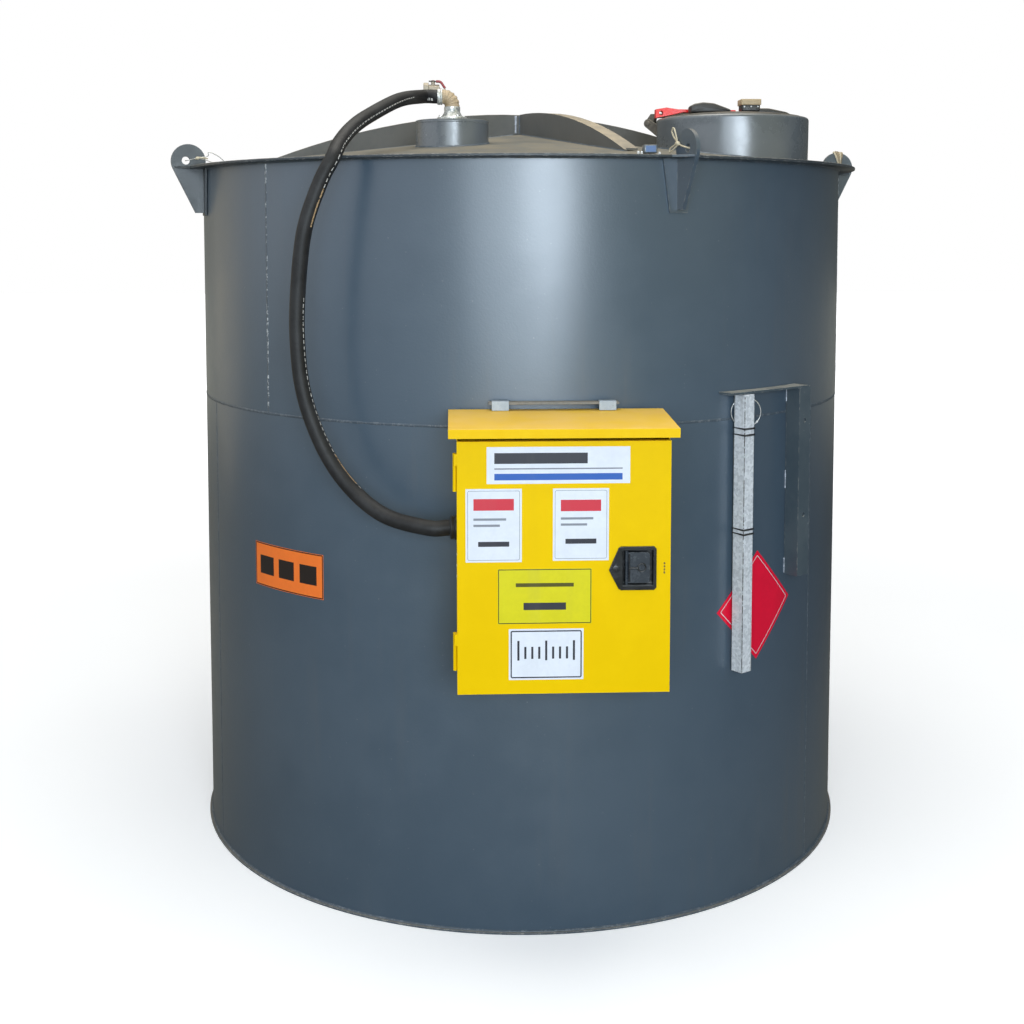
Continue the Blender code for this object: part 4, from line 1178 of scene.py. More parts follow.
DUSTY_BAR = Paint("dusty_bar_paint", (0.12, 0.12, 0.11), (0.20, 0.185, 0.16), 0.46, 0.16,
                  peel=0.2, patch=16.0, dust=0.85, dust_and_highlight_colour=(0.30, 0.26, 0.20), wear=0.5,
                  bare_and_highlight=(0.35, 0.34, 0.32))
HINGE_BROWN = Paint("dusty_hinge_paint", (0.070, 0.062, 0.050), (0.13, 0.115, 0.09), 0.50, 0.16,
                    peel=0.3, peel_scale=700.0, patch=20.0, dust=0.6, wear=0.5,
                    bare_and_highlight=(0.20, 0.18, 0.15))
# Dark brown patches that paint the shade inside the door's small slots.
SLOT_PAINTED_SHADE = Paint("dark_slot_painted_shade", (0.10, 0.055, 0.010), (0.16, 0.09, 0.02), 0.6, 0.1, peel=0.2,
                   patch=40.0)
BRASS = Paint("dull_brass", (0.30, 0.255, 0.195), (0.42, 0.365, 0.285), 0.44, 0.14,
              peel=0.25, peel_scale=900.0, patch=40.0, metallic=0.35, wear=0.6,
              bare_and_highlight=(0.10, 0.09, 0.07), specular=0.3)
CREAM_ROPE = Paint("cream_tie", (0.60, 0.53, 0.38), (0.48, 0.41, 0.28), 0.62, 0.1,
                   peel=0.5, peel_scale=900.0, patch=40.0)
BROWN_ROPE = Paint("brown_rope", (0.20, 0.155, 0.10), (0.34, 0.27, 0.17), 0.75, 0.1,
                   peel=0.6, peel_scale=900.0, patch=40.0)
BLACK_TIE = Paint("black_tie", (0.012, 0.012, 0.012), (0.02, 0.02, 0.02), 0.38, 0.1,
                  peel=0.2, peel_scale=900.0, patch=30.0)
WHITE_DOT = Paint("white_dot", (0.72, 0.72, 0.70), (0.60, 0.60, 0.58), 0.5, 0.1,
                  peel=0.2, peel_scale=900.0, patch=30.0)
# The galvanised angles: ridge darkens their corners with dirt and painted shade.
ZINC = Zinc("galvanised_steel", (0.61, 0.64, 0.68), (0.86, 0.89, 0.93), spangle=140.0,
            dust=0.25, ridge=0.9)
STEEL_WIRE = Zinc("steel_wire", (0.34, 0.34, 0.34), (0.52, 0.52, 0.51), 0.34, 200.0, 0.0, 0.8)
ZINC_BRIGHT = Zinc("bright_zinc", (0.28, 0.29, 0.28), (0.74, 0.75, 0.72), 0.34, 230.0, 0.25, 0.6)
BEAD_SLATE = WeldBead("slate_weld", (0.060, 0.080, 0.10), (0.30, 0.32, 0.34), 0.25)
BEAD_WORN = WeldBead("worn_weld", (0.070, 0.088, 0.105), (0.60, 0.62, 0.62), 0.85, 0.4)
# A dark bead for the angles' inside corner: spatter and dirt, and painted shade in the valley.
CORNER_DIRT_AND_SHADE = WeldBead("dark_corner_dirt_and_painted_shade", (0.05, 0.05, 0.05), (0.58, 0.60, 0.63), 1.0, 0.5)
BEAD_BARE = WeldBead("bare_weld", (0.30, 0.32, 0.36), (0.60, 0.63, 0.69), 1.0, 0.35)
HOSE = HosePrint("hose_rubber")
WHITE = (0.76, 0.78, 0.83)
INK = (0.035, 0.035, 0.045)
FAINT_INK = (0.24, 0.25, 0.28)
PRINT_BLUE = (0.025, 0.11, 0.42)
PRINT_RED = (0.62, 0.035, 0.055)
STRIP_LABEL = Label("strip_label", WHITE, (0.3693, 0.0956), bars=(
    (0.0, -0.0300, 0.165, 0.0085, PRINT_BLUE), (-0.045, 0.0180, 0.120, 0.0140, INK),
    (0.0, -0.0090, 0.165, 0.0018, FAINT_INK)))
NOTICE_LABELS = [Label(f"notice_label_{i + 1}", WHITE, (0.1446, 0.1900), FAINT_INK, 0.0050,
                       0.0012, bars=(
    (0.0, 0.0540 - 0.004 * i, 0.052, 0.0150, PRINT_RED),
    (-0.010, 0.0160, 0.042, 0.0030, FAINT_INK), (-0.018, 0.0000, 0.034, 0.0030, FAINT_INK),
    (0.0, -0.0480 + 0.004 * i, 0.040, 0.0065, INK))) for i in range(2)]
YELLOW_LABEL = Label("content_label", (0.70, 0.62, 0.006), (0.2427, 0.1447),
                     (0.045, 0.040, 0.010), 0.0010, 0.0022, 0.0040, bars=(
    (0.0, 0.0300, 0.075, 0.0050, (0.09, 0.08, 0.01)), (0.0, -0.0260, 0.055, 0.0095, INK)))
SCALE_LABEL = Label("scale_label", WHITE, (0.1937, 0.1343), INK, 0.0045, 0.0034, 0.0095, tuple(
    (0.018 * (i - 4), 0.004 if i % 4 else 0.010, 0.0028, 0.016 if i % 4 else 0.026, INK)
    for i in range(9)))
ORANGE_LABEL = Label("orange_label", (1.0, 0.215, 0.035), (0.3029, 0.132), (0.016, 0.012, 0.010),
                     0.0012, 0.0032, 0.0050, bars=tuple(
    (0.092 * (i - 1), 0.0, 0.034, 0.028, (0.020, 0.014, 0.012)) for i in range(3)))
RED_LABEL = Label("red_label", (0.78, 0.007, 0.038), (0.2312, 0.2312), (0.66, 0.62, 0.63), 0.0095,
                  0.0022, 0.014)
BLUE_LABEL = Label("blue_label", (0.055, 0.12, 0.27), (0.026, 0.017))


# What every sub-assembly shares

@dataclass
class SubAssembly:
    """A part of the tank that builds its pieces and dresses them."""

    made: list[Thing] = field(default_factory=list, init=False)

    def fit(self, piece: Thing, finish: Finish, slot: str = "slate_paint", body: str = "tank",
            replaces: Sequence[str] = ()) -> Thing:
        """Give a piece its finish and its body.

        Args:
            piece: the new object.
            finish: what its surface is.
            slot: the record's material slot that the finish belongs to; not used.
            body: the CAD body that it rides on.
            replaces: CAD nodes that it stands for.

        Returns:
            The same object.
        """
        piece.data.materials.clear()
        piece.data.materials.append(finish.material())
        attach(piece, body)
        if replaces:
            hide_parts(*replaces)
        self.made.append(piece)
        return piece

    def soften(self, node: str, name: str, edge: float, finish: Finish,
               slot: str = "slate_paint", body: str = "tank", segments: int = 2) -> None:
        """Put a copy with rounded edges in the place of a CAD node."""
        self.fit(softened(node, name, edge, segments), finish, slot, body, [node])

    def dress(self, node: str, finish: Finish) -> None:
        """Give a CAD node that stays a better finish.

        Args:
            node: the CAD node's name.
            finish: what its surface is.
        """
        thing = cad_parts[node]
        made = finish.material()
        if not thing.material_slots:
            thing.data.materials.append(made)
        for holder in thing.material_slots:
            holder.material = made
        self.made.append(thing)

    def report(self) -> None:
        """Say what was made."""
        for piece in self.made:
            LOG.info("%s: %s", type(self).__name__, piece.name)


# Base plate, wall and rim

def wall_swell(turn: Array, radius: Array, height: Array) -> Array:
    """How far the rolled wall lies inside its true circle.

    Three sines of the turn and the height, never outwards, and a slight draw
    inwards along the ring seam.

    Args:
        turn: angles round the tank.
        radius: distances from its axis.
        height: levels.

    Returns:
        Steps outwards, none above zero.
    """
    wave = (0.00045 * (np.sin(3 * turn + 0.7) - 1.0)
            + 0.00022 * (np.sin(9 * turn + 3.1 * height) - 1.0)
            + 0.00010 * (np.sin(21 * turn - 7.0 * height) - 1.0))
    draw = -0.0006 * np.exp(-((height - SEAM_HEIGHT) / 0.035) ** 2)
    return (wave + draw) * (radius > 1.0)


def wall_radius(turn: Array, height: float | Array) -> Array:
    """Radius of the wall's outer side at some turns and heights."""
    return WALL_RADIUS + wall_swell(turn, np.array(WALL_RADIUS), np.array(height))


@dataclass
class TankWall(SubAssembly):
    """Bottom plate, the two courses of rolled plates, their welds and the rim."""

    steps: int = 384
    bottom_radius: float = 1.095
    weld_radius: float = 1.0858
    lower_seams: tuple[float, ...] = (53.5, 173.5, 293.5)
    upper_seams: tuple[float, ...] = (-46.5, 73.5, 193.5)
    bead_half: float = 0.0042
    bead_height: float = 0.0014

    def build(self) -> None:
        """Build and dress the pieces."""
        self.bottom()
        self.course("lower_wall", WALL_FOOT, SEAM_HEIGHT - 0.0002, 26, "lower_course")
        self.course("upper_wall", SEAM_HEIGHT + 0.0002, WALL_TOP, 16, "upper_course")
        self.ring_seam()
        self.upright_seams("lower_seam", self.lower_seams, WALL_FOOT + 0.006,
                           SEAM_HEIGHT - 0.003, BEAD_SLATE)
        self.upright_seams("upper_seam", self.upper_seams, SEAM_HEIGHT + 0.003,
                           WALL_TOP - 0.004, BEAD_WORN)
        self.rim()

    def bottom(self) -> None:
        """Round plate under the wall, and the fillet weld on it."""
        rim = self.bottom_radius
        profile = [(0.0, 0.0), (rim - 0.001, 0.0), (rim, 0.001), (rim, 0.0048),
                   (rim - 0.0012, 0.006), (0.0, 0.006)]
        self.fit(turned("base_plate", profile, self.steps), SLATE_BASE, replaces=["bottom_plate"])
        turn = round_turn(2200)
        path = level_ring(turn, self.weld_radius, WALL_FOOT + 0.0008)
        self.fit(bead("base_weld", path, outwards(turn, 1.0, 1.0), 0.0045, 0.0022, 0.012, True, 3),
                 BEAD_SLATE)

    def course(self, name: str, foot: float, top: float, rows: int, nodes: str) -> None:
        """One course of the wall as a closed shell, rolled and slightly uneven.

        Args:
            name: the piece's name.
            foot: its lowest level.
            top: its highest level.
            rows: levels of points.
            nodes: start of its CAD nodes' names.
        """
        up = np.linspace(foot, top, rows)
        outer = np.column_stack([np.full(rows, WALL_RADIUS), up])
        inner = np.column_stack([np.full(rows, WALL_RADIUS - WALL_SHEET), up[::-1]])
        wall = turned(name, np.concatenate([outer, inner]), self.steps, swell=wall_swell)
        self.fit(wall, SLATE, replaces=[f"{nodes}_{i}" for i in (1, 2, 3)])

    def ring_seam(self) -> None:
        """The level weld between the two courses."""
        turn = round_turn(3600)
        path = level_ring(turn, wall_radius(turn, SEAM_HEIGHT), SEAM_HEIGHT)
        self.fit(bead("ring_seam", path, outwards(turn, 1.0, 0.0), self.bead_half,
                      self.bead_height, 0.0065, True, 5), BEAD_SLATE)

    def upright_seams(self, name: str, angles: Sequence[float], foot: float, top: float,
                      finish: Finish) -> None:
        """The upright welds of one course.

        Args:
            name: start of the pieces' names.
            angles: degrees round the tank.
            foot: lowest level.
            top: highest level.
            finish: the weld's.
        """
        up = np.linspace(foot, top, int((top - foot) / 0.0016))
        for i, degrees in enumerate(angles):
            turn = np.full(len(up), math.radians(degrees - 90.0))
            self.fit(bead(f"{name}_{i + 1}", level_ring(turn, wall_radius(turn, up), up),
                          outwards(turn, 1.0, 0.0), self.bead_half, self.bead_height, seed=11 + i),
                     finish)

    def rim(self) -> None:
        """Flat ring round the wall's top, its edges rounded, and the welds on it."""
        inner, outer, low, high = WALL_RADIUS - 0.002, RIM_RADIUS, WALL_TOP, RIM_TOP
        ease = 0.0022
        profile = [(inner, low), (outer - ease, low), (outer - 0.3 * ease, low + 0.3 * ease),
                   (outer, low + ease), (outer, high - ease),
                   (outer - 0.3 * ease, high - 0.3 * ease), (outer - ease, high), (inner, high)]
        # The rim's finish paints shade on its edge and a highlight on its top edge.
        self.fit(turned("rim_ring", profile, self.steps), SLATE_RIM_PAINTED_LIGHT_AND_SHADE, replaces=["rim_flange"])
        turn = round_turn(2200)
        for name, radius, height, out, seed in (
                ("rim_weld_under", self.weld_radius, low - 0.0008, outwards(turn, 1.0, -1.0), 7),
                ("rim_weld_top", inner + 0.0005, high - 0.001, outwards(turn, 0.0, 1.0), 9)):
            self.fit(bead(name, level_ring(turn, radius, height), out, 0.0042, 0.0020, 0.011, True,
                          seed), BEAD_SLATE)


# Roof

def roof_height(radius: float | Array) -> float | Array:
    """Height of the cone's upper side at a distance from the tank's axis."""
    return 2.1893 + 0.132 * (1.0 - radius / WALL_RADIUS)


@dataclass
class ConeRoof(SubAssembly):
    """The low cone with its dents and holes, its upright ribs and their welds."""

    steps: int = 256
    rings: int = 44
    edge: float = 1.0835
    sheet: float = 0.004
    dent: float = 0.0035
    rib_half: float = 0.0046

    def build(self) -> None:
        """Build and dress the pieces."""
        self.cone()
        for side in ("long", "front", "back"):
            self.soften(f"roof_rib_{side}", f"{side}_rib", 0.0012, SLATE_RIB)
        for i in range(4):
            self.rib_welds(i)
        self.peak_welds()

    def cone(self) -> None:
        """The cone as a closed shell, holed for the neck and the stub.

        Its height falls with the radius, less a dent that is nothing along the
        ribs and the edge: the square of sin 2a times slow sines of x and y.
        """
        r, a = np.meshgrid(np.linspace(0.0, self.edge, self.rings), round_turn(self.steps))
        x, y = r * np.cos(a), r * np.sin(a)
        free = np.sin(2 * (a - RIB_DIRECTION)) ** 2 * (1.0 - (r / self.edge) ** 6) * r
        slow = 0.5 + 0.3 * np.sin(4.1 * x + 1.0) + 0.2 * np.sin(5.3 * y - 2.0 * x)
        top = np.stack([x, y, roof_height(r) - self.dent * free * slow], -1)
        under = top[:, ::-1] - np.array([0.0, 0.0, self.sheet])
        grid = np.concatenate([top, under], 1)
        cone = mesh_thing("cone_roof", grid, grid_faces(self.steps, 2 * self.rings, True, False))
        for name, at, size in (("neck_hole", MANHOLE_CENTRE, 0.2475),
                               ("stub_hole", PICKUP_CENTRE, 0.1125)):
            hole = [(0.0, 2.0), (size, 2.0), (size, 2.5), (0.0, 2.5)]
            cut(cone, turned(name, hole, 96, at))
        self.fit(cone, SLATE_TOP, replaces=[f"roof_plate_{i}" for i in (1, 2, 3, 4)])

    def rib_welds(self, i: int) -> None:
        """The fillet welds on both sides of one rib's foot.

        Args:
            i: the rib's number, counted round from the long one's end.
        """
        turn = RIB_DIRECTION + i * math.pi / 2
        reach = np.array([0.030, 0.858])
        along = np.array([math.cos(turn), math.sin(turn), 0.0])
        for name, side in (("right", -1.0), ("left", 1.0)):
            away = np.array([-along[1], along[0], 0.0]) * side
            ends = reach[:, None] * along + away * self.rib_half
            ends[:, 2] = roof_height(reach) + 0.0006
            self.fit(straight_bead(f"rib_weld_{i + 1}_{name}", ends, 320, unit(away + UPWARD),
                                   0.0038, 0.0020, 0.010, 21 + i), BEAD_SLATE)

    def peak_welds(self) -> None:
        """The welds where the front and back ribs meet the long one, and its own bare joint."""
        levels = [[0.0, 0.0, roof_height(0.0) + 0.004], [0.0, 0.0, RIM_TOP + 0.192]]
        long_way = np.array([math.cos(RIB_DIRECTION), math.sin(RIB_DIRECTION), 0.0])
        short_way = np.array([-long_way[1], long_way[0], 0.0])
        for i, (left, back) in enumerate(((-1, -1), (1, -1), (-1, 1), (1, 1))):
            way = left * long_way + back * short_way
            self.fit(straight_bead(f"peak_weld_{i + 1}", levels + self.rib_half * way, 70,
                                   unit(way), 0.0034, 0.0018, 0.008, 51 + i), BEAD_SLATE)
        ends = levels - 0.0185 * long_way - 0.0040 * short_way
        self.fit(straight_bead("joint_weld", ends, 70, -short_way, 0.0036, 0.0020, 0.009, 57),
                 BEAD_BARE)


# Lifting lugs

@dataclass
class LiftingLugs(SubAssembly):
    """Eye plates at the rim, and the wire and rope ties left on three of them.

    A tie's points are (radius, height, side): the distance from the tank's
    axis, the height, and the step to the right of the plate's middle.
    """

    left_angle: float = -73.0
    front_angle: float = 21.0
    right_angle: float = 93.0
    eye: Pair = (1.146, 2.211)

    def build(self) -> None:
        """Build and dress the pieces."""
        for i in (1, 2, 3, 4):
            # The left plate gets the darker slate copy: painted shade.
            self.soften(f"lifting_lug_{i}", f"eye_plate_{i}", 0.0016,
                        SLATE_EDGED if i > 1 else SLATE_PAINTED_SHADE)
        radius, height = self.eye
        left, front = self.left_angle, self.front_angle
        self.strand("wire_tie", left, STEEL_WIRE, 0.0014, (
            (radius, height, -0.012), (radius, height, 0.0), (radius - 0.004, height, 0.012),
            (1.107, 2.220, 0.011), (1.077, 2.226, 0.010), (1.074, 2.2385, 0.010),
            (1.050, 2.230, 0.010), (1.027, 2.212, 0.010), (1.030, 2.203, 0.010),
            (1.052, 2.204, 0.010), (1.080, 2.212, 0.010), (1.104, 2.218, 0.012)))
        self.strand("wire_band", left, CREAM_ROPE, 0.0024, (
            (1.118, 2.216, 0.0105), (1.107, 2.221, 0.0105), (1.092, 2.220, 0.0105),
            (1.077, 2.218, 0.0105)))
        self.lump("wire_knob", left, (1.110, 2.219, 0.012), 0.0060, 0.0050, CREAM_ROPE)
        self.strand("cream_loop_high", front, CREAM_ROPE, 0.0024, (
            (radius, height, 0.010), (radius, height, 0.0), (1.130, 2.216, -0.0105),
            (1.101, 2.226, -0.011), (1.095, 2.242, -0.012), (1.087, 2.262, -0.013),
            (1.077, 2.2695, -0.012), (1.067, 2.260, -0.010), (1.078, 2.244, -0.010),
            (1.092, 2.234, -0.011), (1.104, 2.224, -0.013)))
        self.strand("cream_loop_low", front, CREAM_ROPE, 0.0022, (
            (1.104, 2.224, -0.011), (1.090, 2.216, -0.012), (1.070, 2.207, -0.012),
            (1.056, 2.204, -0.011), (1.060, 2.214, -0.011), (1.082, 2.222, -0.010),
            (1.100, 2.226, -0.012)))
        self.lump("cream_knob", front, (1.101, 2.225, -0.012), 0.0095, 0.0062, CREAM_ROPE)
        for i in range(5):
            self.rope_turn(i)

    def place(self, degrees: float, points: Sequence[Point] | Array) -> Array:
        """Carry (radius, height, side) points at a plate's angle into the tank's frame."""
        return wall_plane(degrees, 0.0).place(np.array(points, float)[:, ::-1])

    def strand(self, name: str, degrees: float, finish: Finish, thick: float,
               points: Sequence[Point]) -> None:
        """A wire or rope along a smooth curve through its points.

        Args:
            name: the piece's name.
            degrees: the plate's place.
            finish: its surface.
            thick: its radius.
            points: what it passes through.
        """
        path = smooth_path(self.place(degrees, points), 8)
        hint = (*wall_plane(degrees, 0.0).across[:2], 0.02)
        self.fit(tube(name, path, thick, 10, hint=hint), finish, "pale_strap")

    def lump(self, name: str, degrees: float, point: Point, half: float, size: float,
             finish: Finish) -> None:
        """The knot or clamp of a tie."""
        spot, out = self.place(degrees, [point])[0], wall_plane(degrees, 1.0).origin
        self.fit(knob(name, spot, out, half, size, 2.6), finish, "pale_strap")

    def rope_turn(self, i: int) -> None:
        """One turn of rope through the right plate's eye and over its head.

        The height swings with the cosine of the turn between the eye and the
        head's top, the side with its sine, and the radius from the eye to the
        turn's own place on the head.

        Args:
            i: the turn's number, from the wall outwards.
        """
        turn = round_turn(36)
        low, high = self.eye[1] - 0.002 + 0.001 * i, 2.2675 - 0.0012 * abs(i - 1)
        share = (1.0 + np.cos(turn)) / 2
        radius = self.eye[0] + (1.126 + 0.0072 * i - self.eye[0]) * share
        points = np.column_stack([radius, low + (high - low) * share, 0.0098 * np.sin(turn)])
        out = wall_plane(self.right_angle, 1.0).origin
        self.fit(tube(f"rope_turn_{i + 1}", self.place(self.right_angle, points), 0.0034, 10, True,
                      out), BROWN_ROPE if i % 3 else CREAM_ROPE, "pale_strap")


# Manhole

@dataclass
class RoofFitting(SubAssembly):
    """What stands on a round neck through the roof."""

    centre: Pair = (0.0, 0.0)

    def collar_weld(self, name: str, radius: float, count: int, half: float, height: float,
                    seed: int) -> None:
        """The fillet weld round the neck's foot.

        Args:
            name: the piece's name.
            radius: the neck's.
            count: points round it.
            half: half the weld's width.
            height: how far it stands out.
            seed: which random walk.
        """
        turn = round_turn(count)
        path = level_ring(turn, radius, 0.0, self.centre)
        path[:, 2] = roof_height(np.hypot(path[:, 0], path[:, 1])) + 0.0004
        self.fit(bead(name, path, outwards(turn, 1.0, 1.0), half, height, 0.010, True, seed),
                 BEAD_SLATE)


@dataclass
class Manhole(RoofFitting):
    """The neck through the roof, and the lid with its grips, bar, vent and hinge."""

    centre: Pair = MANHOLE_CENTRE
    neck_radius: float = 0.250
    neck_top: float = 2.355
    neck_bottom: float = 2.150
    mouth: float = 0.190
    crown_radius: float = 0.222
    lid_radius: float = 0.228
    left_grip: tuple[Pair, ...] = (
        (0.534, 0.012), (0.665, 0.014), (0.665, 0.023), (0.610, 0.043), (0.575, 0.046),
        (0.545, 0.041), (0.534, 0.034))
    right_grip: tuple[Pair, ...] = (
        (0.760, 0.014), (0.895, 0.003), (0.900, 0.008), (0.870, 0.024), (0.810, 0.036),
        (0.770, 0.036))

    def build(self) -> None:
        """Build and dress the pieces."""
        self.neck()
        self.lid()
        self.soften("lid_bar", "cranked_bar", 0.0012, RED, "red_paint", "lid")
        self.vent()
        self.soften("lid_hinge_arm", "hinge_arm", 0.0015, HINGE_BROWN, "black_plastic", "lid")
        self.soften("lid_hinge", "hinge_ears", 0.0012, HINGE_BROWN)

    def neck_swell(self, turn: Array, radius: Array, height: Array) -> Array:
        """Slight unevenness of the rolled neck, never outwards.

        Args:
            turn: angles round the neck.
            radius: distances from its axis.
            height: levels.

        Returns:
            What is added to each radius.
        """
        wave = 0.0008 * (np.sin(5 * turn + 9.0 * height) - 1.0) + 0.0005 * (
            np.sin(11 * turn - 20.0 * height) - 1.0)
        return wave * (radius > self.neck_radius - 0.004) * (height < self.neck_top - 0.012)

    def neck(self) -> None:
        """Rolled neck with a rounded shoulder and a ledge inside."""
        r, top, low = self.neck_radius, self.neck_top, self.neck_bottom
        shoulder = [(r - 0.010 * (1 - math.cos(a)), top - 0.010 * (1 - math.sin(a)))
                    for a in np.linspace(0.0, np.pi / 2, 7)]
        side = [(r, z) for z in np.linspace(low, top - 0.012, 14)]
        profile = side + shoulder + [
            (self.mouth + 0.002, top), (self.mouth, top - 0.002), (self.mouth, top - 0.006),
            (r - 0.012, top - 0.006), (r - 0.006, top - 0.012), (r - 0.006, low)]
        # The neck wears the lighter slate copy: painted light.
        self.fit(turned("neck", profile, 192, self.centre, self.neck_swell), SLATE_PAINTED_SUNLIGHT,
                 replaces=["manhole_neck"])
        self.collar_weld("neck_weld", r, 900, 0.0045, 0.0022, 31)

    def crown(self, radius: float) -> float:
        """Height of the lid's low dome at a distance from its middle."""
        return self.neck_top + 0.021 - 0.016 * (radius / self.crown_radius) ** 2

    def lid(self) -> None:
        """Domed lid with a rolled edge, and the two moulded grips on it."""
        top = self.neck_top
        dome = [(r, self.crown(r)) for r in np.linspace(0.0, self.crown_radius - 0.004, 16)]
        edge = [(self.lid_radius - 0.002, top + 0.0042), (self.lid_radius, top + 0.0025),
                (self.lid_radius, top + 0.0003), (self.lid_radius - 0.014, top + 0.0003)]
        under = [(r, self.crown(r) - 0.006) for r in np.linspace(0.205, 0.0, 10)]
        lid = turned("domed_lid", (dome + edge + under)[::-1], 160, self.centre)
        self.fit(lid, BLACK_MOULDED, "black_plastic", "lid", ["manhole_lid"])
        for name, side, y in (("left_grip", self.left_grip, -0.345),
                              ("right_grip", self.right_grip, -0.250)):
            outline = rounded_outline([(x, top + z) for x, z in side], 0.006)
            grip = slab(name, outline, eased(-0.030, 0.030, 0.006), front_plane(y))
            self.fit(grip, BLACK_MOULDED, "black_plastic", "lid")

    def vent(self) -> None:
        """Black vent base with a tan cap and three pale plugs on its front."""
        low = 2.3757
        for name, sides, foot, head, finish, nodes in (
                ("vent_base", (0.705, -0.354, 0.765, -0.294, 0.007), 0.0, 0.020, BLACK_MOULDED,
                 ["lid_vent"]),
                ("vent_cap", (0.702, -0.357, 0.768, -0.291, 0.005), 0.019, 0.038, TAN, [])):
            part = slab(name, rectangle(*sides), eased(foot, head, 0.002),
                        level_plane(0.0, 0.0, low))
            self.fit(part, finish, "black_plastic", "lid", nodes)
        for i, x in enumerate((0.713, 0.735, 0.757)):
            dot = slab(f"vent_plug_{i + 1}", ring_outline(x, low + 0.0135, 0.0026, 16),
                       eased(-0.001, 0.0014, 0.0007), front_plane(-0.354))
            self.fit(dot, WHITE_DOT, "black_plastic", "lid")


# Pickup and its hose

